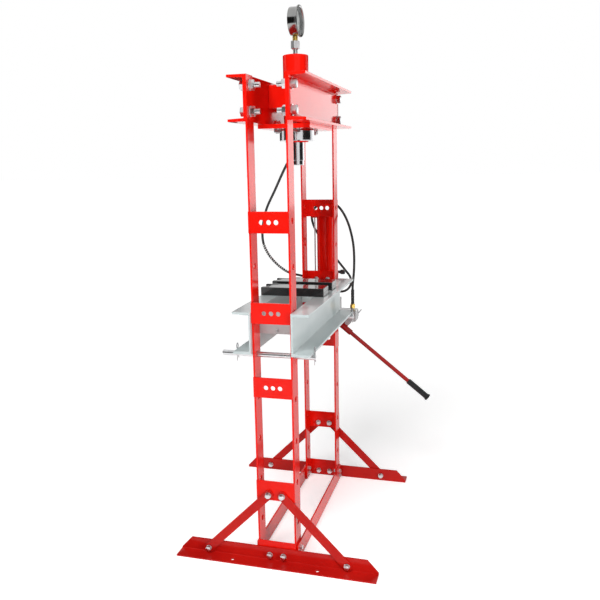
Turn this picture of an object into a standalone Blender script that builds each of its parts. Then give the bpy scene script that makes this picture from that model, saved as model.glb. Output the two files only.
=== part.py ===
"""Hydraulic shop press at real size, in metres: a bolted steel frame, a ram in its head, a height-set
bed with two arbor plates, and a hand pump on the right frame that feeds the ram through a hose.

The press stands on the floor at Z = 0. X runs across it, from the plain frame at the left to the frame
that carries the pump, and the operator stands at -Y. All places below are measured from the ram's axis;
one empty then puts the origin under the middle of the whole press."""

import math

import bmesh
import bpy
import numpy as np
from mathutils import Matrix, Vector

# Clearances
SEAT_GAP = 0.0003
SLIDE_GAP = 0.0005
OVERRUN = 0.004
MERGE_DISTANCE = 0.00001
SHARP_ANGLE = math.radians(40)

# Posts
POST_HEIGHT = 1.600
POST_WIDTH = 0.060
POST_THICKNESS = 0.006
POST_FLOOR_GAP = 0.002
POST_SPACING = 0.620
FRAME_DEPTH = 0.134
PIN_HOLE_RADIUS = 0.010
PIN_HOLE_FIRST_HEIGHT = 0.1345
PIN_HOLE_PITCH = 0.146
PIN_HOLE_COUNT = 8
BED_HOLE_INDEX = 4

# Cross plates between a frame's front and rear post
PLATE_HEIGHT = 0.068
PLATE_THICKNESS = 0.006
TOP_PLATE_HEIGHT = 1.153
PUMP_PLATE_HEIGHT = 0.863
MIDDLE_PLATE_HEIGHT = 0.615
LOWER_PLATE_HEIGHT = 0.255
FOOT_PLATE_HEIGHT = 0.036
PLATE_HOLE_RADIUS = 0.008
PLATE_HOLE_SPACING = 0.024
BOLT_HOLE_RADIUS = 0.0055
BOLT_DROP = 0.0135

# Feet and braces
FOOT_LENGTH = 0.700
FOOT_LEG_HEIGHT = 0.050
FOOT_THICKNESS = 0.005
FOOT_WIDTH = 0.0534
FOOT_SLOPE_LENGTH = 0.038
FOOT_SLOPE_DROP = 0.041
ANCHOR_HOLE_RADIUS = 0.0065
ANCHOR_HOLE_REACH = 0.150
ANCHOR_HOLE_EDGE = 0.020
BRACE_WIDTH = 0.030
BRACE_THICKNESS = 0.005
BRACE_END = 0.016
BRACE_CORNER = 0.008
BRACE_FOOT_REACH = 0.245
BRACE_FOOT_HEIGHT = 0.022
BRACE_TOP_STAND_OFF = 0.0007
BRACE_FOOT_STAND_OFF = 0.0014

# Tie bars across the floor
TIE_HEIGHT = 0.058
TIE_THICKNESS = 0.006
TIE_END_INSET = 0.002
TIE_BOLT_HEIGHT = 0.018
TIE_BOLT_PITCH = 0.022

# Rolled channels of the head and the bed
CHANNEL_HEIGHT = 0.140
WEB_THICKNESS = 0.006
FLANGE_ROOT = 0.0105
FLANGE_TIP = 0.0080
BEAM_LEG = 0.058
BEAM_BOLT_RADIUS = 0.0085
BEAM_BOLT_EDGE = 0.031
BED_LEG = 0.062
BED_OVERHANG = 0.011
BED_SHIFT = -0.005

# Head: plates between the beams, and the plate that carries the ram
HEAD_PLATE_REACH = 0.099
HEAD_PLATE_THICKNESS = 0.008
HEAD_PLATE_HEIGHT = 0.075
HEAD_PLATE_DROP = 0.011
CARRIER_WIDTH = 0.320
CARRIER_DEPTH = 0.178
CARRIER_THICKNESS = 0.014
CARRIER_BOLT_RADIUS = 0.0065
CARRIER_BOLT_REACH = 0.118
CARRIER_BOLT_DEPTH = 0.034

# Ram
BARREL_RADIUS = 0.044
BARREL_NECK_RADIUS = 0.040
BARREL_BORE_RADIUS = 0.032
BARREL_HEIGHT = 0.234
BARREL_ROOF = 0.030
BARREL_EDGE = 0.003
BARREL_NECK_SHORT = 0.004
GLAND_HEIGHT = 0.024
RING_NUT_RADIUS = 0.060
RING_NUT_HEIGHT = 0.038
RING_NUT_EDGE = 0.003
PISTON_RADIUS = 0.0245
PISTON_TIP_RADIUS = 0.0225
PISTON_TIP_HEIGHT = 0.016
PISTON_REST_REACH = 0.082
PISTON_HEAD_HEIGHT = 0.026
PISTON_CLEARANCE = 0.0006
RAM_STROKE = 0.150
PORT_HEIGHT = 0.020
PORT_SPIGOT_RADIUS = 0.006
PORT_SPIGOT_DEPTH = 0.006
PORT_OIL_RADIUS = 0.0025

# Pressure gauge
NIPPLE_RADIUS = 0.008
NIPPLE_HEIGHT = 0.020
NIPPLE_SPIGOT_RADIUS = 0.005
NIPPLE_SPIGOT_DEPTH = 0.008
STEM_HEX_ACROSS = 0.027
STEM_HEX_HEIGHT = 0.027
GAUGE_FITTING_RADIUS = 0.009
GAUGE_FITTING_SPIGOT_RADIUS = 0.005
GAUGE_FITTING_HEIGHT = 0.015
GAUGE_RADIUS = 0.047
GAUGE_BEZEL_RADIUS = 0.052
GAUGE_BEZEL_DEPTH = 0.006
GAUGE_LIP_RADIUS = 0.0445
GAUGE_LIP_DEPTH = 0.003
GAUGE_WALL = 0.003
GAUGE_DEPTH = 0.035
GAUGE_BACK_REACH = 0.015
GAUGE_GLASS_THICKNESS = 0.0025
GAUGE_GLASS_LEDGE = 0.0015
POINTER_HUB_RADIUS = 0.004
POINTER_SHAFT_RADIUS = 0.002
POINTER_LENGTH = 0.036
POINTER_TAIL = 0.012
POINTER_WIDTH = 0.004
POINTER_THICKNESS = 0.001
POINTER_STAND_OFF = 0.019
POINTER_TAPER_SHARE = 0.7
POINTER_ZERO_ANGLE = math.radians(225)

# Bed fittings
SPREADER_THICKNESS = 0.006
SPREADER_HEIGHT = 0.080
SPREADER_SIDE_PLAY = 0.005
SPREADER_BOTTOM = 0.053
SPREADER_HOLE_RADIUS = 0.005
SPREADER_HOLE_EDGE = 0.012
ARBOR_WIDTH = 0.075
ARBOR_LENGTH = 0.232
ARBOR_THICKNESS = 0.030
ARBOR_EDGE = 0.0015
ARBOR_SHIFT = 0.011
ARBOR_LEFT_PLACE = -0.0295
ARBOR_RIGHT_PLACE = 0.1055
ARBOR_NOTCH_WIDTH = 0.044
ARBOR_NOTCH_DEPTH = 0.026
PIN_RADIUS = 0.009
PIN_FRONT_REACH = 0.137
PIN_REAR_REACH = 0.182
PIN_EDGE = 0.0015
CLIP_WIRE_RADIUS = 0.0015
CLIP_PLAY = 0.0015
CLIP_SPAN = 0.060
CLIP_POINT_SPACING = 0.0045

# Hand pump
PUMP_STAND_OFF = 0.0537
PUMP_BLOCK_WIDTH = 0.064
PUMP_HANG = 0.088
PUMP_BLOCK_HEIGHT = 0.058
PUMP_SHELF_HEIGHT = 0.010
PUMP_NOSE_DROP = 0.025
PUMP_VALVE_DROP = 0.035
PUMP_NOSE_REACH = 0.134
PUMP_VALVE_REACH = 0.112
PUMP_STEP_REACH = 0.084
PUMP_FACE_REACH = 0.062
PUMP_BACK_REACH = 0.052
PUMP_BLOCK_EDGE = 0.002
FULCRUM_REACH = 0.096
FULCRUM_DROP = 0.018
FULCRUM_PIN_RADIUS = 0.004
EAR_RADIUS = 0.012
EAR_THICKNESS = 0.0055
CRANK_THICKNESS = 0.014
CRANK_HALF_WIDTH = 0.010
CRANK_REACH = 0.046
LEVER_RANGE = math.radians(48)
LEVER_REST_ANGLE = math.radians(38.9)
PLUNGER_TRAVEL = 0.0402
PLUNGER_RADIUS = 0.007
PLUNGER_LEAST_GRIP = 0.008
PLUNGER_PIN_RADIUS = 0.004
SLOT_CLEARANCE = 0.0008
FORK_EAR_THICKNESS = 0.005
FORK_HALF_DEPTH = 0.009
FORK_HEIGHT = 0.016
FORK_BRIDGE = 0.005
HANDLE_OFFSET = 0.029
HANDLE_RADIUS = 0.0085
HANDLE_LENGTH = 0.460
SOCKET_RADIUS = 0.0125
SOCKET_END = 0.018
SOCKET_FLOOR = 0.006
SOCKET_REACH = 0.040
GRIP_RADIUS = 0.0120
GRIP_FLARE_RADIUS = 0.0150
GRIP_FLARE_LENGTH = 0.010
GRIP_LENGTH = 0.1075
GRIP_FLOOR = 0.008
TANK_RADIUS = 0.033
TANK_WALL = 0.003
TANK_HEIGHT = 0.345
TANK_LID_THICKNESS = 0.010
TANK_LID_LENGTH = 0.104
TIE_ROD_RADIUS = 0.003
TIE_ROD_REACH = 0.043
TIE_ROD_NUT_ACROSS = 0.010
TIE_ROD_NUT_HEIGHT = 0.005
FILLER_OFFSET = 0.014
FILLER_RISE = 0.108
FILLER_BOSS_RADIUS = 0.0095
FILLER_BOSS_REACH = 0.046
FILLER_NECK_RADIUS = 0.006
FILLER_NECK_DEPTH = 0.014
FILLER_KNOB_RADIUS = 0.010
FILLER_KNOB_START = 0.062
FILLER_KNOB_LENGTH = 0.018
COLLAR_RADIUS = 0.0385
COLLAR_HEIGHT = 0.030
COLLAR_DROP = 0.008
BRACKET_THICKNESS = 0.006
BRACKET_WIDTH = 0.096
BRACKET_HEIGHT = 0.060
BRACKET_WEB_WIDTH = 0.044
VALVE_REACH = 0.124
VALVE_RISE = 0.012
VALVE_SPIGOT_RADIUS = 0.005
VALVE_SPIGOT_DEPTH = 0.015
VALVE_HEAD_RADIUS = 0.009
VALVE_HEAD_LENGTH = 0.020
VALVE_BAR_RADIUS = 0.003
VALVE_BAR_LENGTH = 0.068
VALVE_BAR_ANGLE = math.radians(51)
VALVE_BAR_EDGE = 0.006

# Hose and its end fittings
HOSE_RADIUS = 0.005
HOSE_POINT_SPACING = 0.0255
FERRULE_RADIUS = 0.007
FITTING_HEX_ACROSS = 0.019
FITTING_HEX_LENGTH = 0.016
RAM_FERRULE_LENGTH = 0.040
PUMP_FERRULE_LENGTH = 0.063
PUMP_PORT_REACH = 0.1155
FITTING_NECK_LENGTH = 0.006
GUARD_WIRE_RADIUS = 0.00075
GUARD_CURLS = 17
GUARD_POINTS_PER_CURL = 10
GUARD_START_POINT = (0.280, 0.229, 1.009)
GUARD_END_POINT = (0.345, 0.146, 0.885)
GUARD_LEAST_GAP = 0.0004

# Faces around a turn, by how large the round piece is
FEW_SIDES = 12
SOME_SIDES = 16
MANY_SIDES = 32

# Steps along each stretch of a smooth line, and along each stretch of a wire whose gap is measured
LINE_STEPS = 40
GAP_STEPS = 4

# Colour, roughness and metallic value of each finish
RED_PAINT = ((0.84, 0.010, 0.003), 0.30, 0.0)
DARK_RED_PAINT = ((0.60, 0.012, 0.012), 0.38, 0.0)
GREY_PAINT = ((0.58, 0.62, 0.62), 0.35, 0.0)
CHROME = ((0.62, 0.62, 0.64), 0.18, 1.0)
ZINC = ((0.55, 0.55, 0.53), 0.38, 1.0)
BRASS = ((0.60, 0.42, 0.16), 0.30, 1.0)
BLACK_STEEL = ((0.012, 0.012, 0.014), 0.22, 0.0)
BLACK_RUBBER = ((0.014, 0.014, 0.014), 0.55, 0.0)
CLEAR_GLASS = ((0.90, 0.93, 0.93), 0.05, 0.0)
BLACK_PAINT = ((0.010, 0.010, 0.010), 0.40, 0.0)

for old in list(bpy.data.objects):
    bpy.data.objects.remove(old, do_unlink=True)

PARTS = bpy.data.collections.new("hydraulic_shop_press")
CUTTERS = bpy.data.collections.new("cutters")
bpy.context.scene.collection.children.link(PARTS)
bpy.context.scene.collection.children.link(CUTTERS)
CUTTERS.hide_render = True

# Places worked out from the sizes
POST_X = POST_SPACING / 2
FRAME_FACE_Y = FRAME_DEPTH / 2
FRAME_OUTER_X = POST_X + POST_WIDTH / 2
PLATE_OUTER_X = FRAME_OUTER_X + SEAT_GAP + PLATE_THICKNESS
BEAM_LENGTH = POST_SPACING + POST_WIDTH
BED_LENGTH = BEAM_LENGTH + 2 * BED_OVERHANG
BEAM_BOTTOM_Z = POST_HEIGHT - CHANNEL_HEIGHT
CARRIER_TOP_Z = BEAM_BOTTOM_Z - SEAT_GAP
CARRIER_BOTTOM_Z = CARRIER_TOP_Z - CARRIER_THICKNESS
NUT_TOP_Z = CARRIER_BOTTOM_Z - SEAT_GAP
NUT_BOTTOM_Z = NUT_TOP_Z - RING_NUT_HEIGHT
BARREL_SEAT_Z = CARRIER_TOP_Z + SEAT_GAP
BARREL_TOP_Z = BARREL_SEAT_Z + BARREL_HEIGHT
BARREL_BOTTOM_Z = NUT_BOTTOM_Z - BARREL_NECK_SHORT
BED_HOLE_Z = PIN_HOLE_FIRST_HEIGHT + BED_HOLE_INDEX * PIN_HOLE_PITCH
PIN_Z = BED_HOLE_Z - (PIN_HOLE_RADIUS - PIN_RADIUS - SEAT_GAP)
BED_BOTTOM_Z = PIN_Z + PIN_RADIUS + SEAT_GAP
BED_TOP_Z = BED_BOTTOM_Z + CHANNEL_HEIGHT
BED_WEB_Y = FRAME_FACE_Y + SLIDE_GAP
CLIP_Y = BED_WEB_Y + BED_LEG + CLIP_PLAY + CLIP_WIRE_RADIUS
PUMP_BLOCK_TOP = PUMP_PLATE_HEIGHT - PUMP_HANG
PUMP_BLOCK_BOTTOM = PUMP_BLOCK_TOP - PUMP_BLOCK_HEIGHT
PUMP_SHELF_TOP = PUMP_BLOCK_BOTTOM + PUMP_SHELF_HEIGHT
PUMP_NOSE_BOTTOM = PUMP_BLOCK_BOTTOM - PUMP_NOSE_DROP
PUMP_VALVE_BOTTOM = PUMP_BLOCK_BOTTOM - PUMP_VALVE_DROP
FULCRUM_HEIGHT = PUMP_NOSE_BOTTOM - FULCRUM_DROP
FILLER_HEIGHT = PUMP_BLOCK_TOP + FILLER_RISE
VALVE_HEIGHT = PUMP_VALVE_BOTTOM + VALVE_RISE
PLUNGER_Y = CRANK_REACH - FULCRUM_REACH
PLUNGER_PIN_Z = FULCRUM_HEIGHT + PLUNGER_TRAVEL / 2
PUMP_X = PLATE_OUTER_X + PUMP_STAND_OFF
PUMP_OUTER_X = PUMP_X + PUMP_BLOCK_WIDTH / 2
HANDLE_DIRECTION = Vector((0, -math.cos(LEVER_REST_ANGLE), -math.sin(LEVER_REST_ANGLE)))
HANDLE_NORMAL = Vector((0, math.sin(LEVER_REST_ANGLE), -math.cos(LEVER_REST_ANGLE)))
FULCRUM = Vector((PUMP_X, -FULCRUM_REACH, FULCRUM_HEIGHT))
HANDLE_FOOT = FULCRUM + HANDLE_NORMAL * HANDLE_OFFSET
HANDLE_INNER_END = SOCKET_FLOOR + SEAT_GAP - SOCKET_END
GRIP_OUTER_END = HANDLE_INNER_END + HANDLE_LENGTH + SEAT_GAP + GRIP_FLOOR
GRIP_END = HANDLE_FOOT + HANDLE_DIRECTION * GRIP_OUTER_END
PRESS_FRONT_Y = GRIP_END.y - GRIP_FLARE_RADIUS * math.sin(LEVER_REST_ANGLE)
PRESS_REAR_Y = FOOT_LENGTH / 2
PRESS_LEFT_X = -(PLATE_OUTER_X + SEAT_GAP + FOOT_WIDTH)
PRESS_RIGHT_X = PUMP_OUTER_X + SEAT_GAP + VALVE_HEAD_LENGTH

SIDES = (("left", -1), ("right", 1))
ENDS = (("front", -1), ("rear", 1))
ALONG_X = (math.pi / 2, 0, math.pi / 2)
ALONG_Y = (math.pi / 2, 0, 0)
ALONG_Z = (0, 0, 0)

places = {}


def hold(name, place, parent=None):
    """An empty at a place measured from the ram's axis, for the pieces that move with it."""
    empty = bpy.data.objects.new(name, None)
    empty.parent = parent
    empty.location = Vector(place) - (places[parent.name] if parent else Vector((0, 0, 0)))
    places[name] = Vector(place)
    PARTS.objects.link(empty)
    return empty


press = hold("press_middle", (0, 0, 0))
press.location = (-(PRESS_LEFT_X + PRESS_RIGHT_X) / 2, -(PRESS_FRONT_Y + PRESS_REAR_Y) / 2, 0)


def finish_of(name, finish):
    """The piece's own Principled material."""
    color, roughness, metallic = finish
    material = bpy.data.materials.new(name + "_finish")
    material.use_nodes = True
    shader = material.node_tree.nodes["Principled BSDF"]
    shader.inputs["Base Color"].default_value = (*color, 1)
    shader.inputs["Roughness"].default_value = roughness
    shader.inputs["Metallic"].default_value = metallic
    return material


def add(name, mesh, finish, place, turn=ALONG_Z, parent=press):
    """A named piece in the parts collection, or a helper in the cutters when it has no finish."""
    thing = bpy.data.objects.new(name, mesh)
    thing.parent = parent
    thing.location = Vector(place) - places[parent.name]
    thing.rotation_euler = turn
    if finish:
        mesh.materials.append(finish_of(name, finish))
        PARTS.objects.link(thing)
    else:
        thing.hide_render = True
        thing.display_type = "WIRE"
        CUTTERS.objects.link(thing)
    return thing


def turn_towards(direction):
    """The rotation that stands a piece's own Z along a direction."""
    return Vector(direction).to_track_quat("Z", "Y").to_euler()


def block(name, low, high, finish, parent=press):
    """A box between two corners."""
    low, high = Vector(low), Vector(high)
    shape = bmesh.new()
    bmesh.ops.create_cube(shape, size=1)
    bmesh.ops.scale(shape, vec=high - low, verts=shape.verts)
    mesh = bpy.data.meshes.new(name)
    shape.to_mesh(mesh)
    shape.free()
    return add(name, mesh, finish, (low + high) / 2, parent=parent)


def rod(name, start, end, radius, finish, sides=SOME_SIDES, parent=press):
    """A round bar between two points. Six sides make a hexagon."""
    start, end = Vector(start), Vector(end)
    shape = bmesh.new()
    length = (end - start).length
    bmesh.ops.create_cone(shape, cap_ends=True, segments=sides, radius1=radius, radius2=radius, depth=length)
    mesh = bpy.data.meshes.new(name)
    shape.to_mesh(mesh)
    shape.free()
    mesh.shade_smooth()
    mesh.set_sharp_from_angle(angle=SHARP_ANGLE)
    return add(name, mesh, finish, (start + end) / 2, turn_towards(end - start), parent)


def hexagon(name, start, end, across, finish, parent=press):
    """A hexagon bar of a size across its flats."""
    return rod(name, start, end, across / 2 / math.cos(math.pi / 6), finish, 6, parent)


def circle(x, y, radius, sides=SOME_SIDES):
    """A round hole or rim for an outline."""
    angles = [math.tau * (step + 0.5) / sides for step in range(sides)]
    return [(x + radius * math.cos(angle), y + radius * math.sin(angle)) for angle in angles]


def rectangle(width, height, x=0, y=0):
    """A rectangle round a middle, for an outline."""
    return [
        (x - width / 2, y - height / 2),
        (x + width / 2, y - height / 2),
        (x + width / 2, y + height / 2),
        (x - width / 2, y + height / 2),
    ]


def link_outline(length, half_width, sides=SOME_SIDES):
    """A bar with round ends, from (0, 0) to (length, 0)."""
    half = sides // 2
    right = [math.pi * (step / half - 0.5) for step in range(half + 1)]
    ends = [(length + half_width * math.cos(angle), half_width * math.sin(angle)) for angle in right]
    ends += [(-half_width * math.cos(angle), -half_width * math.sin(angle)) for angle in right]
    return ends


def arc(x, y, radius, first, last, steps):
    """Points round part of a circle, between two angles."""
    angles = [first + (last - first) * step / steps for step in range(steps + 1)]
    return [(x + radius * math.cos(angle), y + radius * math.sin(angle)) for angle in angles]


def crank_outline(arm, arm_angle, neck, neck_angle, half_width):
    """A bell crank round (0, 0): an arm and a neck, each a length at an angle, with round ends."""
    half = SOME_SIDES // 2
    quarter = math.pi / 2
    arm_x, arm_y = arm * math.cos(arm_angle), arm * math.sin(arm_angle)
    neck_x, neck_y = neck * math.cos(neck_angle), neck * math.sin(neck_angle)
    between = (arm_angle - neck_angle) / 2
    inner = half_width / math.sin(between)
    corner = (inner * math.cos(arm_angle - between), inner * math.sin(arm_angle - between))
    points = arc(arm_x, arm_y, half_width, arm_angle - quarter, arm_angle + quarter, half)
    points += arc(0, 0, half_width, arm_angle + quarter, neck_angle + 3 * quarter, half // 2)
    points += arc(neck_x, neck_y, half_width, neck_angle - quarter, neck_angle + quarter, half)
    return points + [corner]


def plate(name, loops, thickness, turn, place, finish, parent=press):
    """A flat outline with its holes, given half its thickness to each side."""
    outline = bpy.data.curves.new(name, "CURVE")
    outline.dimensions = "2D"
    outline.fill_mode = "BOTH"
    outline.extrude = thickness / 2
    for loop in loops:
        spline = outline.splines.new("POLY")
        spline.points.add(len(loop) - 1)
        for point, (x, y) in zip(spline.points, loop):
            point.co = (x, y, 0, 1)
        spline.use_cyclic_u = True
    guide = bpy.data.objects.new(name, outline)
    CUTTERS.objects.link(guide)
    graph = bpy.context.evaluated_depsgraph_get()
    mesh = bpy.data.meshes.new_from_object(guide.evaluated_get(graph))
    bpy.data.objects.remove(guide)
    mesh.name = name
    shape = bmesh.new()
    shape.from_mesh(mesh)
    bmesh.ops.remove_doubles(shape, verts=shape.verts, dist=MERGE_DISTANCE)
    bmesh.ops.recalc_face_normals(shape, faces=shape.faces)
    shape.to_mesh(mesh)
    shape.free()
    return add(name, mesh, finish, place, turn, parent)


def turned(name, profile, place, finish, turn=ALONG_Z, sides=MANY_SIDES, closed=False, parent=press):
    """A turned piece: its profile of (radius, height) runs down the outer side."""
    mesh = bpy.data.meshes.new(name)
    edges = [(step, step + 1) for step in range(len(profile) - 1)]
    if closed:
        edges.append((len(profile) - 1, 0))
    mesh.from_pydata([(radius, 0, height) for radius, height in profile], edges, [])
    thing = add(name, mesh, finish, place, turn, parent)
    spin = thing.modifiers.new("turn", "SCREW")
    spin.axis = "Z"
    spin.steps = sides
    spin.render_steps = sides
    spin.use_merge_vertices = True
    spin.merge_threshold = MERGE_DISTANCE
    spin.use_smooth_shade = True
    return thing


def tube(name, points, radius, finish, resolution, parent=press):
    """A round wire or hose along a line of points."""
    line = bpy.data.curves.new(name, "CURVE")
    line.dimensions = "3D"
    line.bevel_depth = radius
    line.bevel_resolution = resolution
    line.use_fill_caps = True
    spline = line.splines.new("POLY")
    spline.points.add(len(points) - 1)
    for point, place in zip(spline.points, points):
        point.co = (*(Vector(place) - places[parent.name]), 1)
    return add(name, line, finish, places[parent.name], parent=parent)


def cut(target, cutter):
    """Takes the cutter's shape out of the target."""
    change = target.modifiers.new(cutter.name, "BOOLEAN")
    change.operation = "DIFFERENCE"
    change.solver = "EXACT"
    change.object = cutter


def join(target, other):
    """Adds the other shape to the target, as one solid."""
    change = target.modifiers.new(other.name, "BOOLEAN")
    change.operation = "UNION"
    change.solver = "EXACT"
    change.object = other


def drill(target, holes, sides=SOME_SIDES, parent=press):
    """Round holes, each from one point to another."""
    for number, (start, end, radius) in enumerate(holes):
        name = f"{target.name}_hole_{number}"
        cut(target, rod(name, start, end, radius, None, sides, parent))


def soften(target, width):
    """A small flat on every sharp edge."""
    edge = target.modifiers.new("edge", "BEVEL")
    edge.width = width
    edge.segments = 1
    edge.limit_method = "ANGLE"
    edge.angle_limit = SHARP_ANGLE


def smooth_line(route, spacing):
    """Points evenly spaced along a smooth curve through the points of a route."""
    corners = np.array(route, float)
    corners = np.vstack([2 * corners[0] - corners[1], corners, 2 * corners[-1] - corners[-2]])
    samples = []
    for a, b, c, d in zip(corners, corners[1:], corners[2:], corners[3:]):
        knots = [0.0]
        for first, second in ((a, b), (b, c), (c, d)):
            knots.append(knots[-1] + math.sqrt(np.linalg.norm(second - first)))
        for t in np.linspace(knots[1], knots[2], LINE_STEPS, endpoint=False):
            ab = a + (b - a) * (t - knots[0]) / (knots[1] - knots[0])
            bc = b + (c - b) * (t - knots[1]) / (knots[2] - knots[1])
            cd = c + (d - c) * (t - knots[2]) / (knots[3] - knots[2])
            abc = ab + (bc - ab) * (t - knots[0]) / (knots[2] - knots[0])
            bcd = bc + (cd - bc) * (t - knots[1]) / (knots[3] - knots[1])
            samples.append(abc + (bcd - abc) * (t - knots[1]) / (knots[2] - knots[1]))
    samples = np.array(samples + [corners[-2]])
    run = np.concatenate([[0], np.cumsum(np.linalg.norm(np.diff(samples, axis=0), axis=1))])
    count = max(2, round(run[-1] / spacing) + 1)
    stops = np.linspace(0, run[-1], count)
    return np.column_stack([np.interp(stops, run, samples[:, axis]) for axis in range(3)])


def make_posts():
    """Flat bars with the pin holes, and the bolt holes for beams and tie bars."""
    middle = (POST_HEIGHT + POST_FLOOR_GAP) / 2
    heights = [PIN_HOLE_FIRST_HEIGHT + step * PIN_HOLE_PITCH for step in range(PIN_HOLE_COUNT)]
    loops = [rectangle(POST_WIDTH, POST_HEIGHT - POST_FLOOR_GAP)]
    loops += [circle(0, height - middle, PIN_HOLE_RADIUS) for height in heights]
    loops += [circle(0, height - middle, BOLT_HOLE_RADIUS, FEW_SIDES) for height in tie_bolt_heights()]
    loops += [circle(0, height - middle, BEAM_BOLT_RADIUS, FEW_SIDES) for height in beam_bolt_heights()]
    for side, x in SIDES:
        for end, y in ENDS:
            place = (x * POST_X, y * (FRAME_FACE_Y - POST_THICKNESS / 2), middle)
            plate(f"{side}_{end}_post", loops, POST_THICKNESS, ALONG_Y, place, RED_PAINT)


def tie_bolt_heights():
    first = POST_FLOOR_GAP + TIE_BOLT_HEIGHT
    return (first, first + TIE_BOLT_PITCH)


def beam_bolt_heights():
    return (BEAM_BOTTOM_Z + BEAM_BOLT_EDGE, POST_HEIGHT - BEAM_BOLT_EDGE)


def make_cross_plates():
    """Five plates on the outer side of each frame. The two lowest take the brace and foot bolts."""
    open_holes = [
        circle(y * PLATE_HOLE_SPACING, 0, PLATE_HOLE_RADIUS, FEW_SIDES) for y in (-1, 0, 1)
    ]
    bolt_holes = [
        circle(y * PLATE_HOLE_SPACING, -BOLT_DROP, BOLT_HOLE_RADIUS, FEW_SIDES) for y in (-1, 1)
    ]
    pump_holes = [circle(0, 0, PLATE_HOLE_RADIUS, FEW_SIDES)]
    pump_holes += [circle(y * PLATE_HOLE_SPACING, 0, BOLT_HOLE_RADIUS, FEW_SIDES) for y in (-1, 1)]
    rim = rectangle(FRAME_DEPTH, PLATE_HEIGHT)
    for side, x in SIDES:
        rows = (
            ("top", TOP_PLATE_HEIGHT, open_holes),
            ("pump" if x > 0 else "upper", PUMP_PLATE_HEIGHT, pump_holes if x > 0 else open_holes),
            ("middle", MIDDLE_PLATE_HEIGHT, open_holes),
            ("lower", LOWER_PLATE_HEIGHT, bolt_holes),
            ("foot", FOOT_PLATE_HEIGHT, bolt_holes),
        )
        for row, height, holes in rows:
            place = (x * (PLATE_OUTER_X - PLATE_THICKNESS / 2), 0, height)
            plate(f"{side}_{row}_cross_plate", [rim] + holes, PLATE_THICKNESS, ALONG_X, place, RED_PAINT)


def make_feet():
    """Angle irons across the floor, with their upright leg against the lowest cross plates."""
    inner = PLATE_OUTER_X + SEAT_GAP
    outer = inner + FOOT_THICKNESS
    for side, x in SIDES:
        section = [
            (0, 0),
            (x * FOOT_WIDTH, 0),
            (x * FOOT_WIDTH, FOOT_THICKNESS),
            (x * FOOT_THICKNESS, FOOT_THICKNESS),
            (x * FOOT_THICKNESS, FOOT_LEG_HEIGHT),
            (0, FOOT_LEG_HEIGHT),
        ]
        foot = plate(f"{side}_foot", [section], FOOT_LENGTH, ALONG_Y, (x * inner, 0, 0), DARK_RED_PAINT)
        holes = []
        for y in (-1, 1):
            end = y * FOOT_LENGTH / 2
            start = end - y * FOOT_SLOPE_LENGTH
            slope = [
                (start, FOOT_LEG_HEIGHT),
                (end, FOOT_LEG_HEIGHT - FOOT_SLOPE_DROP),
                (end + y * OVERRUN, FOOT_LEG_HEIGHT - FOOT_SLOPE_DROP),
                (end + y * OVERRUN, FOOT_LEG_HEIGHT + OVERRUN),
                (start, FOOT_LEG_HEIGHT + OVERRUN),
            ]
            middle = x * (inner + outer) / 2
            thickness = FOOT_THICKNESS + 2 * OVERRUN
            corner = plate(f"{side}_foot_slope_{y}", [slope], thickness, ALONG_X, (middle, 0, 0), None)
            cut(foot, corner)
            anchor_x = x * (inner + FOOT_WIDTH - ANCHOR_HOLE_EDGE)
            anchor_y = y * ANCHOR_HOLE_REACH
            top = FOOT_THICKNESS + OVERRUN
            holes.append(((anchor_x, anchor_y, -OVERRUN), (anchor_x, anchor_y, top), ANCHOR_HOLE_RADIUS))
            bolts = (
                (y * PLATE_HOLE_SPACING, FOOT_PLATE_HEIGHT - BOLT_DROP),
                (y * BRACE_FOOT_REACH, BRACE_FOOT_HEIGHT),
            )
            for bolt_y, bolt_z in bolts:
                near = (x * (inner - OVERRUN), bolt_y, bolt_z)
                far = (x * (outer + OVERRUN), bolt_y, bolt_z)
                holes.append((near, far, BOLT_HOLE_RADIUS))
        drill(foot, holes, FEW_SIDES)


def make_braces():
    """Flat bars from the lower cross plate's outside to the outside of the foot's upright leg."""
    leg_x = PLATE_OUTER_X + SEAT_GAP + FOOT_THICKNESS
    for side, x in SIDES:
        for end, y in ENDS:
            top_x = PLATE_OUTER_X + BRACE_TOP_STAND_OFF + BRACE_THICKNESS / 2
            foot_x = leg_x + BRACE_FOOT_STAND_OFF + BRACE_THICKNESS / 2
            top = Vector((x * top_x, y * PLATE_HOLE_SPACING, LOWER_PLATE_HEIGHT - BOLT_DROP))
            foot = Vector((x * foot_x, y * BRACE_FOOT_REACH, BRACE_FOOT_HEIGHT))
            along = foot - top
            length = along.length
            half = BRACE_WIDTH / 2
            outline = [
                (-BRACE_END, half - BRACE_CORNER),
                (-BRACE_END, BRACE_CORNER - half),
                (BRACE_CORNER - BRACE_END, -half),
                (length + BRACE_END - BRACE_CORNER, -half),
                (length + BRACE_END, BRACE_CORNER - half),
                (length + BRACE_END, half - BRACE_CORNER),
                (length + BRACE_END - BRACE_CORNER, half),
                (BRACE_CORNER - BRACE_END, half),
            ]
            holes = [circle(at, 0, BOLT_HOLE_RADIUS, FEW_SIDES) for at in (0, length)]
            across = Vector((1, 0, 0)).cross(along).normalized()
            face = along.normalized().cross(across)
            axes = Matrix((along.normalized(), across, face)).transposed()
            name = f"{side}_{end}_brace"
            plate(name, [outline] + holes, BRACE_THICKNESS, axes.to_euler(), top, DARK_RED_PAINT)


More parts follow.
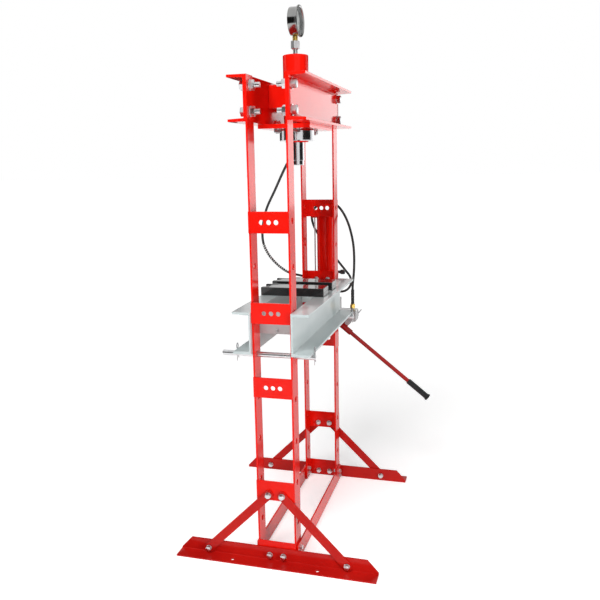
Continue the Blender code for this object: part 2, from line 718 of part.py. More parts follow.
def make_ties():
    """Flat bars along the floor, on the outer faces of the posts."""
    middle = POST_FLOOR_GAP + TIE_HEIGHT / 2
    loops = [rectangle(BEAM_LENGTH - 2 * TIE_END_INSET, TIE_HEIGHT)]
    for x in (-POST_X, POST_X):
        loops += [circle(x, height - middle, BOLT_HOLE_RADIUS, FEW_SIDES) for height in tie_bolt_heights()]
    for end, y in ENDS:
        place = (0, y * (FRAME_FACE_Y + SEAT_GAP + TIE_THICKNESS / 2), middle)
        plate(f"{end}_tie_bar", loops, TIE_THICKNESS, ALONG_Y, place, RED_PAINT)


def channel(name, length, leg, place, side, finish, parent=press):
    """A rolled channel along X. Its web's back is at its place, and its flanges point to the side."""
    section = [
        (0, 0),
        (side * leg, 0),
        (side * leg, FLANGE_TIP),
        (side * WEB_THICKNESS, FLANGE_ROOT),
        (side * WEB_THICKNESS, CHANNEL_HEIGHT - FLANGE_ROOT),
        (side * leg, CHANNEL_HEIGHT - FLANGE_TIP),
        (side * leg, CHANNEL_HEIGHT),
        (0, CHANNEL_HEIGHT),
    ]
    return plate(name, [section], length, ALONG_X, place, finish, parent)


def make_beams():
    """The two channels of the head, bolted through the posts."""
    for end, y in ENDS:
        back = FRAME_FACE_Y + SEAT_GAP
        beam = channel(f"{end}_top_beam", BEAM_LENGTH, BEAM_LEG, (0, y * back, BEAM_BOTTOM_Z), y, RED_PAINT)
        holes = []
        for x in (-POST_X, POST_X):
            for height in beam_bolt_heights():
                near = (x, y * (back - OVERRUN), height)
                far = (x, y * (back + WEB_THICKNESS + OVERRUN), height)
                holes.append((near, far, BEAM_BOLT_RADIUS))
        drill(beam, holes, FEW_SIDES)


def make_head():
    """The plates between the beams, and the plate under them that carries the ram."""
    top = POST_HEIGHT - HEAD_PLATE_DROP
    for side, x in SIDES:
        near = x * HEAD_PLATE_REACH - HEAD_PLATE_THICKNESS / 2
        low = (near, -FRAME_FACE_Y, top - HEAD_PLATE_HEIGHT)
        block(f"{side}_head_plate", low, (near + HEAD_PLATE_THICKNESS, FRAME_FACE_Y, top), RED_PAINT)
    rim = rectangle(CARRIER_WIDTH, CARRIER_DEPTH)
    loops = [rim, circle(0, 0, BARREL_NECK_RADIUS + SEAT_GAP, MANY_SIDES)]
    for x in (-1, 1):
        for y in (-1, 1):
            hole = (x * CARRIER_BOLT_REACH, y * CARRIER_BOLT_DEPTH)
            loops.append(circle(*hole, CARRIER_BOLT_RADIUS, FEW_SIDES))
    middle = (CARRIER_TOP_Z + CARRIER_BOTTOM_Z) / 2
    plate("carrier_plate", loops, CARRIER_THICKNESS, ALONG_Z, (0, 0, middle), RED_PAINT)


def make_ram():
    """The barrel with its oil port, the ring nut that clamps it, and the piston that slides in it."""
    wall_top = BARREL_TOP_Z - BARREL_ROOF
    gland_top = BARREL_BOTTOM_Z + GLAND_HEIGHT
    rod_hole = PISTON_RADIUS + PISTON_CLEARANCE
    profile = [
        (0, BARREL_TOP_Z),
        (BARREL_RADIUS - BARREL_EDGE, BARREL_TOP_Z),
        (BARREL_RADIUS, BARREL_TOP_Z - BARREL_EDGE),
        (BARREL_RADIUS, BARREL_SEAT_Z),
        (BARREL_NECK_RADIUS, BARREL_SEAT_Z),
        (BARREL_NECK_RADIUS, BARREL_BOTTOM_Z),
        (rod_hole, BARREL_BOTTOM_Z),
        (rod_hole, gland_top),
        (BARREL_BORE_RADIUS, gland_top),
        (BARREL_BORE_RADIUS, wall_top),
        (0, wall_top),
    ]
    barrel = turned("ram_barrel", profile, (0, 0, 0), RED_PAINT)
    port_z = BARREL_SEAT_Z + PORT_HEIGHT
    seat_x = BARREL_RADIUS - PORT_SPIGOT_DEPTH - SEAT_GAP
    spigot_hole = ((seat_x, 0, port_z), (BARREL_RADIUS + OVERRUN, 0, port_z), PORT_SPIGOT_RADIUS + SEAT_GAP)
    oil_hole = ((BARREL_BORE_RADIUS - OVERRUN, 0, port_z), (BARREL_RADIUS, 0, port_z), PORT_OIL_RADIUS)
    stem_floor = BARREL_TOP_Z - NIPPLE_SPIGOT_DEPTH - SEAT_GAP
    stem_hole = ((0, 0, stem_floor), (0, 0, BARREL_TOP_Z + OVERRUN), NIPPLE_SPIGOT_RADIUS + SEAT_GAP)
    gauge_hole = ((0, 0, wall_top - OVERRUN), (0, 0, BARREL_TOP_Z), PORT_OIL_RADIUS)
    drill(barrel, (spigot_hole, oil_hole, stem_hole, gauge_hole), FEW_SIDES)
    bore = BARREL_NECK_RADIUS + SEAT_GAP
    ring = [
        (bore, NUT_TOP_Z),
        (RING_NUT_RADIUS - RING_NUT_EDGE, NUT_TOP_Z),
        (RING_NUT_RADIUS, NUT_TOP_Z - RING_NUT_EDGE),
        (RING_NUT_RADIUS, NUT_BOTTOM_Z + RING_NUT_EDGE),
        (RING_NUT_RADIUS - RING_NUT_EDGE, NUT_BOTTOM_Z),
        (bore, NUT_BOTTOM_Z),
    ]
    turned("ring_nut", ring, (0, 0, 0), CHROME, closed=True)
    tip_z = NUT_BOTTOM_Z - PISTON_REST_REACH
    head_radius = BARREL_BORE_RADIUS - PISTON_CLEARANCE
    head_bottom = gland_top + RAM_STROKE + SEAT_GAP
    head_top = head_bottom + PISTON_HEAD_HEIGHT
    piston = [
        (0, head_top),
        (head_radius, head_top),
        (head_radius, head_bottom),
        (PISTON_RADIUS, head_bottom),
        (PISTON_RADIUS, tip_z + PISTON_TIP_HEIGHT),
        (PISTON_TIP_RADIUS, tip_z + PISTON_TIP_HEIGHT),
        (PISTON_TIP_RADIUS, tip_z),
        (0, tip_z),
    ]
    slide = hold("ram_slide", (0, 0, tip_z), press)
    turned("ram_piston", [(radius, z - tip_z) for radius, z in piston], (0, 0, tip_z), CHROME, parent=slide)


def make_gauge():
    """The gauge stands on the barrel: stem, brass fitting, case with its glass, and pointer."""
    stem_z = BARREL_TOP_Z + SEAT_GAP
    hex_z = stem_z + NIPPLE_HEIGHT
    stem_top = hex_z + STEM_HEX_HEIGHT
    stem = hexagon("gauge_stem", (0, 0, hex_z), (0, 0, stem_top), STEM_HEX_ACROSS, ZINC)
    overlap = STEM_HEX_HEIGHT / 2
    join(stem, rod("stem_nipple", (0, 0, stem_z), (0, 0, hex_z + overlap), NIPPLE_RADIUS, None))
    spigot_low = (0, 0, stem_z - NIPPLE_SPIGOT_DEPTH)
    join(stem, rod("stem_spigot", spigot_low, (0, 0, hex_z), NIPPLE_SPIGOT_RADIUS, None, FEW_SIDES))
    fitting_z = stem_top + SEAT_GAP
    fitting_top = fitting_z + GAUGE_FITTING_HEIGHT
    spigot_top = fitting_top + GAUGE_WALL
    profile = [
        (0, spigot_top),
        (GAUGE_FITTING_SPIGOT_RADIUS, spigot_top),
        (GAUGE_FITTING_SPIGOT_RADIUS, fitting_top),
        (GAUGE_FITTING_RADIUS, fitting_top),
        (GAUGE_FITTING_RADIUS, fitting_z),
        (0, fitting_z),
    ]
    turned("gauge_fitting", profile, (0, 0, 0), BRASS, sides=SOME_SIDES)
    centre_z = fitting_top + SEAT_GAP + GAUGE_RADIUS
    floor = GAUGE_WALL
    lip = GAUGE_DEPTH - GAUGE_LIP_DEPTH
    ledge = lip - GAUGE_GLASS_THICKNESS - 2 * SEAT_GAP
    inner = GAUGE_RADIUS - GAUGE_WALL
    seat = inner + GAUGE_GLASS_LEDGE
    bezel = GAUGE_DEPTH - GAUGE_BEZEL_DEPTH
    case = [
        (0, floor),
        (inner, floor),
        (inner, ledge),
        (seat, ledge),
        (seat, lip),
        (GAUGE_LIP_RADIUS, lip),
        (GAUGE_LIP_RADIUS, GAUGE_DEPTH),
        (GAUGE_BEZEL_RADIUS, GAUGE_DEPTH),
        (GAUGE_BEZEL_RADIUS, bezel),
        (GAUGE_RADIUS, bezel),
        (GAUGE_RADIUS, 0),
        (0, 0),
    ]
    back = (0, GAUGE_BACK_REACH, centre_z)
    body = turned("gauge_case", case, back, ZINC, ALONG_Y)
    hole_low = (0, 0, centre_z - GAUGE_RADIUS - OVERRUN)
    hole_high = (0, 0, centre_z - inner + OVERRUN)
    shaft_floor = (0, GAUGE_BACK_REACH - GAUGE_WALL / 2, centre_z)
    shaft_mouth = (0, GAUGE_BACK_REACH - GAUGE_WALL - OVERRUN, centre_z)
    spigot_hole = (hole_low, hole_high, GAUGE_FITTING_SPIGOT_RADIUS + SEAT_GAP)
    shaft_hole = (shaft_floor, shaft_mouth, POINTER_SHAFT_RADIUS + SEAT_GAP)
    drill(body, (spigot_hole, shaft_hole), FEW_SIDES)
    glass = [
        (0, GAUGE_GLASS_THICKNESS),
        (seat - SEAT_GAP, GAUGE_GLASS_THICKNESS),
        (seat - SEAT_GAP, 0),
        (0, 0),
    ]
    glass_back = (0, GAUGE_BACK_REACH - ledge - SEAT_GAP, centre_z)
    turned("gauge_glass", glass, glass_back, CLEAR_GLASS, ALONG_Y)
    axis = hold("pointer_axis", (0, 0, centre_z), press)
    needle = [
        (-POINTER_TAIL, -POINTER_WIDTH / 2),
        (POINTER_LENGTH * POINTER_TAPER_SHARE, -POINTER_WIDTH / 4),
        (POINTER_LENGTH, 0),
        (POINTER_LENGTH * POINTER_TAPER_SHARE, POINTER_WIDTH / 4),
        (-POINTER_TAIL, POINTER_WIDTH / 2),
    ]
    turn = Matrix.Rotation(-POINTER_ZERO_ANGLE, 4, "Y") @ Matrix.Rotation(math.pi / 2, 4, "X")
    needle_y = GAUGE_BACK_REACH - POINTER_STAND_OFF
    place = (0, needle_y, centre_z)
    pointer = plate("gauge_pointer", [needle], POINTER_THICKNESS, turn.to_euler(), place, BLACK_PAINT, axis)
    hub_front = (0, needle_y - POINTER_THICKNESS, centre_z)
    hub_back = (0, needle_y + POINTER_THICKNESS, centre_z)
    join(pointer, rod("pointer_hub", hub_back, hub_front, POINTER_HUB_RADIUS, None, FEW_SIDES, axis))
    shaft_back = (0, shaft_floor[1] - SEAT_GAP, centre_z)
    join(pointer, rod("pointer_shaft", shaft_back, place, POINTER_SHAFT_RADIUS, None, FEW_SIDES, axis))


def make_bed():
    """Two channels joined by spreaders, which rest on two pins and slide up between the posts."""
    lift = hold("bed_slide", (0, 0, BED_BOTTOM_Z), press)
    for end, y in ENDS:
        place = (BED_SHIFT, y * BED_WEB_Y, BED_BOTTOM_Z)
        channel(f"{end}_bed_channel", BED_LENGTH, BED_LEG, place, y, GREY_PAINT, lift)
    reach = POST_X - POST_WIDTH / 2 - SPREADER_SIDE_PLAY - SPREADER_THICKNESS / 2 + BED_SHIFT
    hole_y = SPREADER_HOLE_EDGE - SPREADER_HEIGHT / 2
    loops = [rectangle(2 * FRAME_FACE_Y, SPREADER_HEIGHT), circle(0, hole_y, SPREADER_HOLE_RADIUS, FEW_SIDES)]
    for side, x in SIDES:
        place = (BED_SHIFT + x * reach, 0, BED_BOTTOM_Z + SPREADER_BOTTOM + SPREADER_HEIGHT / 2)
        plate(f"{side}_bed_spreader", loops, SPREADER_THICKNESS, ALONG_X, place, GREY_PAINT, lift)
    middle = BED_TOP_Z + SEAT_GAP + ARBOR_THICKNESS / 2
    half_width, half_length = ARBOR_WIDTH / 2, ARBOR_LENGTH / 2
    notched = [
        (-half_width, -half_length),
        (half_width, -half_length),
        (half_width, half_length),
        (ARBOR_NOTCH_WIDTH / 2, half_length),
        (0, half_length - ARBOR_NOTCH_DEPTH),
        (-ARBOR_NOTCH_WIDTH / 2, half_length),
        (-half_width, half_length),
    ]
    for side, x in (("left", ARBOR_LEFT_PLACE), ("right", ARBOR_RIGHT_PLACE)):
        slide = hold(f"{side}_arbor_slide", (x, 0, middle), lift)
        place = (x, ARBOR_SHIFT, middle)
        arbor = plate(f"{side}_arbor_plate", [notched], ARBOR_THICKNESS, ALONG_Z, place, BLACK_STEEL, slide)
        soften(arbor, ARBOR_EDGE)


def clip_points(x, y):
    """The wire of a retaining clip: one straight leg through the pin, and one that wraps its flank."""
    flank = PIN_RADIUS + CLIP_WIRE_RADIUS + 2 * SEAT_GAP
    route_shares = (
        (0.00, -0.45),
        (0.00, -0.20),
        (0.00, 0.05),
        (0.00, 0.25),
        (-0.20, 0.36),
        (-0.05, 0.48),
        (0.45, 0.55),
        (0.95, 0.49),
        (1.00, 0.38),
        (0.78, 0.27),
        (0.88, 0.15),
        (1.00, 0.04),
        (1.01, -0.08),
        (1.10, -0.20),
        (1.30, -0.32),
    )
    route = [(x + flank * across, y, PIN_Z + CLIP_SPAN * up) for across, up in route_shares]
    return smooth_line(route, CLIP_POINT_SPACING)


def make_pins():
    """The bed's two pins, each held by a clip at both ends."""
    for side, x in SIDES:
        slide = hold(f"{side}_pin_slide", (x * POST_X, 0, PIN_Z), press)
        front = (x * POST_X, -PIN_FRONT_REACH, PIN_Z)
        length = PIN_FRONT_REACH + PIN_REAR_REACH
        profile = [
            (0, length),
            (PIN_RADIUS - PIN_EDGE, length),
            (PIN_RADIUS, length - PIN_EDGE),
            (PIN_RADIUS, PIN_EDGE),
            (PIN_RADIUS - PIN_EDGE, 0),
            (0, 0),
        ]
        turn = (-math.pi / 2, 0, 0)
        pin = turned(f"{side}_bed_pin", profile, front, ZINC, turn, SOME_SIDES, parent=slide)
        for end, y in ENDS:
            at = y * CLIP_Y
            low = (x * POST_X, at, PIN_Z - PIN_RADIUS - OVERRUN)
            high = (x * POST_X, at, PIN_Z + PIN_RADIUS + OVERRUN)
            bore = CLIP_WIRE_RADIUS + SEAT_GAP
            cut(pin, rod(f"{side}_{end}_clip_hole", low, high, bore, None, FEW_SIDES, slide))
            pull = hold(f"{side}_{end}_clip_pull", (x * POST_X, at, PIN_Z), slide)
            points = clip_points(x * POST_X, at)
            tube(f"{side}_{end}_clip", points, CLIP_WIRE_RADIUS, ZINC, 1, pull)


def make_pump_block():
    """The pump body: a bored block with a valve nose, and two ears that hold the lever's pin."""
    outline = [
        (-PUMP_NOSE_REACH, PUMP_VALVE_BOTTOM),
        (-PUMP_VALVE_REACH, PUMP_VALVE_BOTTOM),
        (-PUMP_VALVE_REACH, PUMP_NOSE_BOTTOM),
        (-PUMP_STEP_REACH, PUMP_NOSE_BOTTOM),
        (-PUMP_STEP_REACH, PUMP_BLOCK_BOTTOM),
        (PUMP_BACK_REACH, PUMP_BLOCK_BOTTOM),
        (PUMP_BACK_REACH, PUMP_BLOCK_TOP),
        (-PUMP_FACE_REACH, PUMP_BLOCK_TOP),
        (-PUMP_FACE_REACH, PUMP_SHELF_TOP),
        (-PUMP_NOSE_REACH, PUMP_SHELF_TOP),
    ]
    body = plate("pump_block", [outline], PUMP_BLOCK_WIDTH, ALONG_X, (PUMP_X, 0, 0), ZINC)
    soften(body, PUMP_BLOCK_EDGE)
    ear_inner = CRANK_THICKNESS / 2 + SLIDE_GAP
    rise = PUMP_NOSE_BOTTOM + OVERRUN - FULCRUM_HEIGHT
    for side, x in SIDES:
        ear_x = PUMP_X + x * (ear_inner + EAR_THICKNESS / 2)
        round_end = arc(0, 0, EAR_RADIUS, math.pi, math.tau, SOME_SIDES // 2)
        ear = [(-EAR_RADIUS, rise), *round_end, (EAR_RADIUS, rise)]
        place = (ear_x, -FULCRUM_REACH, FULCRUM_HEIGHT)
        join(body, plate(f"pump_{side}_ear", [ear], EAR_THICKNESS, ALONG_X, place, None))
    pin_half = ear_inner + EAR_THICKNESS
    pin_low = (PUMP_X - pin_half, -FULCRUM_REACH, FULCRUM_HEIGHT)
    pin_high = (PUMP_X + pin_half, -FULCRUM_REACH, FULCRUM_HEIGHT)
    join(body, rod("fulcrum_pin", pin_low, pin_high, FULCRUM_PIN_RADIUS, None, FEW_SIDES))
    bore_low = (PUMP_X, PLUNGER_Y, PUMP_BLOCK_BOTTOM - OVERRUN)
    bore_top = PUMP_BLOCK_BOTTOM + PLUNGER_LEAST_GRIP + PLUNGER_TRAVEL + 2 * SEAT_GAP
    bore = (bore_low, (PUMP_X, PLUNGER_Y, bore_top), PLUNGER_RADIUS + SEAT_GAP)
    valve_floor = (PUMP_OUTER_X - VALVE_SPIGOT_DEPTH - SEAT_GAP, -VALVE_REACH, VALVE_HEIGHT)
    valve_mouth = (PUMP_OUTER_X + OVERRUN, -VALVE_REACH, VALVE_HEIGHT)
    valve = (valve_floor, valve_mouth, VALVE_SPIGOT_RADIUS + SEAT_GAP)
    port_low = (PUMP_X, -PUMP_PORT_REACH, PUMP_SHELF_TOP - PORT_SPIGOT_DEPTH - SEAT_GAP)
    port_high = (PUMP_X, -PUMP_PORT_REACH, PUMP_SHELF_TOP + OVERRUN)
    port = (port_low, port_high, PORT_SPIGOT_RADIUS + SEAT_GAP)
    drill(body, (bore, valve, port), SOME_SIDES)


def make_plunger():
    """The pump's plunger: a rod in the block, and a fork with a pin that the crank's slot drives."""
    slide = hold("plunger_slide", (PUMP_X, PLUNGER_Y, PLUNGER_PIN_Z), press)
    bridge_low = PLUNGER_PIN_Z + FORK_HEIGHT
    bridge_high = bridge_low + FORK_BRIDGE
    rod_top = PUMP_BLOCK_BOTTOM + PLUNGER_LEAST_GRIP + PLUNGER_TRAVEL
    inner = CRANK_THICKNESS / 2 + SLIDE_GAP
    outer = inner + FORK_EAR_THICKNESS
    low = (PUMP_X - outer, PLUNGER_Y - FORK_HALF_DEPTH, bridge_low)
    high = (PUMP_X + outer, PLUNGER_Y + FORK_HALF_DEPTH, bridge_high)
    plunger = block("pump_plunger", low, high, ZINC, slide)
    for side, x in SIDES:
        near, far = sorted((PUMP_X + x * inner, PUMP_X + x * outer))
        ear_low = (near, PLUNGER_Y - FORK_HALF_DEPTH, PLUNGER_PIN_Z - FORK_HALF_DEPTH)
        ear_high = (far, PLUNGER_Y + FORK_HALF_DEPTH, bridge_low + FORK_BRIDGE / 2)
        join(plunger, block(f"plunger_{side}_ear", ear_low, ear_high, None, slide))
    stem_low = (PUMP_X, PLUNGER_Y, bridge_low + FORK_BRIDGE / 2)
    stem_high = (PUMP_X, PLUNGER_Y, rod_top)
    join(plunger, rod("plunger_rod", stem_low, stem_high, PLUNGER_RADIUS, None, parent=slide))
    reach = inner + FORK_EAR_THICKNESS / 2
    pin_low = (PUMP_X - reach, PLUNGER_Y, PLUNGER_PIN_Z)
    pin_high = (PUMP_X + reach, PLUNGER_Y, PLUNGER_PIN_Z)
    join(plunger, rod("plunger_pin", pin_low, pin_high, PLUNGER_PIN_RADIUS, None, FEW_SIDES, slide))


def make_lever():
    """The crank that swings on the fulcrum, its socket, the handle tube in it, and the grip."""
    axis = hold("lever_axis", FULCRUM, press)
    half_range = LEVER_RANGE / 2
    slot_near = CRANK_REACH - SLOT_CLEARANCE
    slot_far = CRANK_REACH / math.cos(half_range) + SLOT_CLEARANCE
    slot_half = PLUNGER_PIN_RADIUS + SLOT_CLEARANCE
    neck_angle = math.atan2(HANDLE_NORMAL.z, HANDLE_NORMAL.y)
    rim = crank_outline(slot_far + SLOT_CLEARANCE, half_range, HANDLE_OFFSET, neck_angle, CRANK_HALF_WIDTH)
    turn = Matrix.Rotation(half_range, 2)
    straight = [(x + slot_near, y) for x, y in link_outline(slot_far - slot_near, slot_half, FEW_SIDES)]
    slot = [tuple(turn @ Vector(point)) for point in straight]
    pin_hole = circle(0, 0, FULCRUM_PIN_RADIUS + SEAT_GAP, FEW_SIDES)
    loops = [rim, slot, pin_hole]
    crank = plate("lever_crank", loops, CRANK_THICKNESS, ALONG_X, FULCRUM, DARK_RED_PAINT, axis)
    socket_start = HANDLE_FOOT - HANDLE_DIRECTION * SOCKET_END
    socket_mouth = HANDLE_FOOT + HANDLE_DIRECTION * SOCKET_REACH
    join(crank, rod("crank_socket", socket_start, socket_mouth, SOCKET_RADIUS, None, parent=axis))
    bore_start = HANDLE_FOOT + HANDLE_DIRECTION * (SOCKET_FLOOR - SOCKET_END)
    bore_end = HANDLE_FOOT + HANDLE_DIRECTION * (SOCKET_REACH + OVERRUN)
    drill(crank, [(bore_start, bore_end, HANDLE_RADIUS + SEAT_GAP)], parent=axis)
    handle_start = HANDLE_FOOT + HANDLE_DIRECTION * HANDLE_INNER_END
    handle_end = handle_start + HANDLE_DIRECTION * HANDLE_LENGTH
    rod("lever_handle", handle_start, handle_end, HANDLE_RADIUS, DARK_RED_PAINT, parent=axis)
    floor = GRIP_FLOOR
    grip_bore = HANDLE_RADIUS + SEAT_GAP
    profile = [
        (0, 0),
        (grip_bore, 0),
        (grip_bore, GRIP_LENGTH - floor),
        (GRIP_RADIUS, GRIP_LENGTH - floor),
        (GRIP_RADIUS, GRIP_FLARE_LENGTH - floor),
        (GRIP_FLARE_RADIUS, GRIP_FLARE_LENGTH / 2 - floor),
        (GRIP_FLARE_RADIUS, -floor),
        (0, -floor),
    ]
    place = handle_end + HANDLE_DIRECTION * SEAT_GAP
    turn = turn_towards(-HANDLE_DIRECTION)
    turned("lever_grip", profile, place, BLACK_RUBBER, turn, SOME_SIDES, parent=axis)


def make_tank():
    """The oil tank: a tube under a lid that two tie rods pull down on the block, with a filler boss."""
    bottom = PUMP_BLOCK_TOP + SEAT_GAP
    top = bottom + TANK_HEIGHT
    inner = TANK_RADIUS - TANK_WALL
    lid_bottom = top - TANK_LID_THICKNESS
    profile = [
        (0, top - TANK_WALL),
        (TANK_RADIUS, top - TANK_WALL),
        (TANK_RADIUS, bottom),
        (inner, bottom),
        (inner, lid_bottom),
        (0, lid_bottom),
    ]
    tank = turned("oil_tank", profile, (PUMP_X, 0, 0), RED_PAINT)
    lid_low = (PUMP_X - TANK_RADIUS / 2, -TANK_LID_LENGTH / 2, lid_bottom)
    lid_high = (PUMP_X + TANK_RADIUS / 2, TANK_LID_LENGTH / 2, top)
    join(tank, block("tank_lid", lid_low, lid_high, None))
    for y in (-TIE_ROD_REACH, TIE_ROD_REACH):
        foot = (PUMP_X, y, bottom)
        rod_top = (PUMP_X, y, top + 2 * TIE_ROD_NUT_HEIGHT)
        join(tank, rod(f"tank_rod_{y:.3f}", foot, rod_top, TIE_ROD_RADIUS, None, FEW_SIDES))
        nut_low = (PUMP_X, y, top - TIE_ROD_NUT_HEIGHT / 2)
        nut_high = (PUMP_X, y, top + TIE_ROD_NUT_HEIGHT)
        join(tank, hexagon(f"tank_rod_nut_{y:.3f}", nut_low, nut_high, TIE_ROD_NUT_ACROSS, None))
    boss_x = PUMP_X + FILLER_OFFSET
    boss_back = (boss_x, TANK_WALL - inner, FILLER_HEIGHT)
    boss_face = (boss_x, -FILLER_BOSS_REACH, FILLER_HEIGHT)
    join(tank, rod("filler_boss", boss_back, boss_face, FILLER_BOSS_RADIUS, None))
    inside = (boss_x, 0, FILLER_HEIGHT)
    mouth = (boss_x, -FILLER_BOSS_REACH - OVERRUN, FILLER_HEIGHT)
    drill(tank, [(inside, mouth, FILLER_NECK_RADIUS + SEAT_GAP)], FEW_SIDES)
    neck_end = FILLER_BOSS_REACH - FILLER_NECK_DEPTH
    stopper = [
        (0, FILLER_KNOB_START + FILLER_KNOB_LENGTH - neck_end),
        (FILLER_KNOB_RADIUS, FILLER_KNOB_START + FILLER_KNOB_LENGTH - neck_end),
        (FILLER_KNOB_RADIUS, FILLER_KNOB_START - neck_end),
        (FILLER_NECK_RADIUS, FILLER_KNOB_START - neck_end),
        (FILLER_NECK_RADIUS, 0),
        (0, 0),
    ]
    place = (boss_x, -neck_end, FILLER_HEIGHT)
    turned("filler_plug", stopper, place, BLACK_RUBBER, ALONG_Y, SOME_SIDES)


def make_bracket():
    """The bracket on the pump's cross plate: a plate, a web and a collar round the tank."""
    face = PLATE_OUTER_X + SEAT_GAP
    middle = (face + BRACKET_THICKNESS / 2, 0, PUMP_PLATE_HEIGHT)
    loops = [rectangle(BRACKET_WIDTH, BRACKET_HEIGHT)]
    loops += [circle(y * PLATE_HOLE_SPACING, 0, BOLT_HOLE_RADIUS, FEW_SIDES) for y in (-1, 1)]
    bracket = plate("pump_bracket", loops, BRACKET_THICKNESS, ALONG_X, middle, RED_PAINT)
    collar_top = PUMP_PLATE_HEIGHT - COLLAR_DROP
    collar_bottom = collar_top - COLLAR_HEIGHT / 2
    web_low = (face + BRACKET_THICKNESS / 2, -BRACKET_WEB_WIDTH / 2, collar_bottom)
    web_high = (PUMP_X - TANK_RADIUS / 2, BRACKET_WEB_WIDTH / 2, collar_top)
    join(bracket, block("bracket_web", web_low, web_high, None))
    ring_low = (PUMP_X, 0, collar_bottom)
    ring_high = (PUMP_X, 0, collar_top)
    join(bracket, rod("bracket_ring", ring_low, ring_high, COLLAR_RADIUS, None, MANY_SIDES))
    bore_low = (PUMP_X, 0, collar_bottom - OVERRUN)
    bore_high = (PUMP_X, 0, collar_top + OVERRUN)
    drill(bracket, [(bore_low, bore_high, TANK_RADIUS + SEAT_GAP)], MANY_SIDES)


def make_release_valve():
    """The release valve: a spindle in the block's nose with a bar across its head."""
    axis_place = Vector((PUMP_OUTER_X, -VALVE_REACH, VALVE_HEIGHT))
    axis = hold("valve_axis", axis_place, press)
    seat = SEAT_GAP
    end = seat + VALVE_HEAD_LENGTH
    profile = [
        (0, end),
        (VALVE_HEAD_RADIUS, end),
        (VALVE_HEAD_RADIUS, seat),
        (VALVE_SPIGOT_RADIUS, seat),
        (VALVE_SPIGOT_RADIUS, -VALVE_SPIGOT_DEPTH),
        (0, -VALVE_SPIGOT_DEPTH),
    ]
    turn = (0, math.pi / 2, 0)
    valve = turned("release_valve", profile, axis_place, ZINC, turn, SOME_SIDES, parent=axis)
    reach = Vector((0, math.cos(VALVE_BAR_ANGLE), -math.sin(VALVE_BAR_ANGLE))) * (VALVE_BAR_LENGTH / 2)
    middle = axis_place + Vector((end - VALVE_BAR_EDGE, 0, 0))
    join(valve, rod("valve_bar", middle - reach, middle + reach, VALVE_BAR_RADIUS, None, FEW_SIDES, axis))


def make_fitting(name, start, direction, ferrule_length):
    """A hose end: a spigot in its port, a neck, a hexagon and a crimped ferrule."""
    start, direction = Vector(start), Vector(direction)
    hex_start = start + direction * FITTING_NECK_LENGTH
    hex_end = hex_start + direction * FITTING_HEX_LENGTH
    fitting = hexagon(name, hex_start, hex_end, FITTING_HEX_ACROSS, BRASS)
    inside = hex_start + direction * (FITTING_HEX_LENGTH / 2)
    spigot = start - direction * PORT_SPIGOT_DEPTH
    join(fitting, rod(f"{name}_neck", spigot, inside, PORT_SPIGOT_RADIUS, None, FEW_SIDES))
    ferrule_end = hex_end + direction * ferrule_length
    join(fitting, rod(f"{name}_ferrule", inside, ferrule_end, FERRULE_RADIUS, None))
    return ferrule_end


# The hose's route from the ram to the pump, measured from the ram's axis: points chosen by hand
HOSE_ROUTE = (
    (0.1350, 0.000, 1.4803),
    (0.1504, 0.001, 1.4777),
    (0.1639, 0.005, 1.4709),
    (0.1740, 0.011, 1.4606),
    (0.1800, 0.020, 1.4470),
    (0.1860, 0.036, 1.4210),
    (0.1940, 0.062, 1.3830),
    (0.2070, 0.103, 1.3250),
    (0.2250, 0.156, 1.2320),
    (0.2450, 0.203, 1.1480),
    (0.2620, 0.226, 1.0600),
    (0.2790, 0.227, 1.0090),
    (0.2950, 0.213, 0.9670),
    (0.3120, 0.191, 0.9320),
    (0.3300, 0.167, 0.9050),
    (0.3470, 0.143, 0.8860),
    (0.3780, 0.099, 0.8690),
    (0.4000, 0.074, 0.8590),
    (0.4210, 0.048, 0.8460),
    (0.4370, 0.019, 0.8280),
    (0.4450, -0.008, 0.8100),
    (0.4480, -0.032, 0.7980),
    (0.4480, -0.055, 0.7930),
    (0.4480, -0.0775, 0.7990),
    (0.4480, -0.0940, 0.8155),
    (0.4480, -0.1000, 0.8380),
    (0.4480, -0.0940, 0.8605),
    (0.4480, -0.073, 0.8880),
    (0.4480, -0.043, 0.9250),
    (0.4480, 0.000, 0.9800),
    (0.4440, 0.036, 1.0300),
    (0.4400, 0.057, 1.0700),
    (0.4370, 0.065, 1.1080),
    (0.4350, 0.058, 1.1370),
    (0.4320, 0.038, 1.1570),
    (0.4280, 0.012, 1.1660),
    (0.4230, -0.020, 1.1690),
    (0.4170, -0.050, 1.1570),
    (0.4120, -0.073, 1.1320),
    (0.4070, -0.095, 1.0910),
    (0.4040, -0.109, 1.0480),
    (0.4010, -0.118, 1.0060),
    (0.4000, -0.122, 0.9640),
    (0.4000, -0.1225, 0.9200),
    (0.4000, -0.1205, 0.8760),
    (0.4000, -0.1165, 0.8360),
)


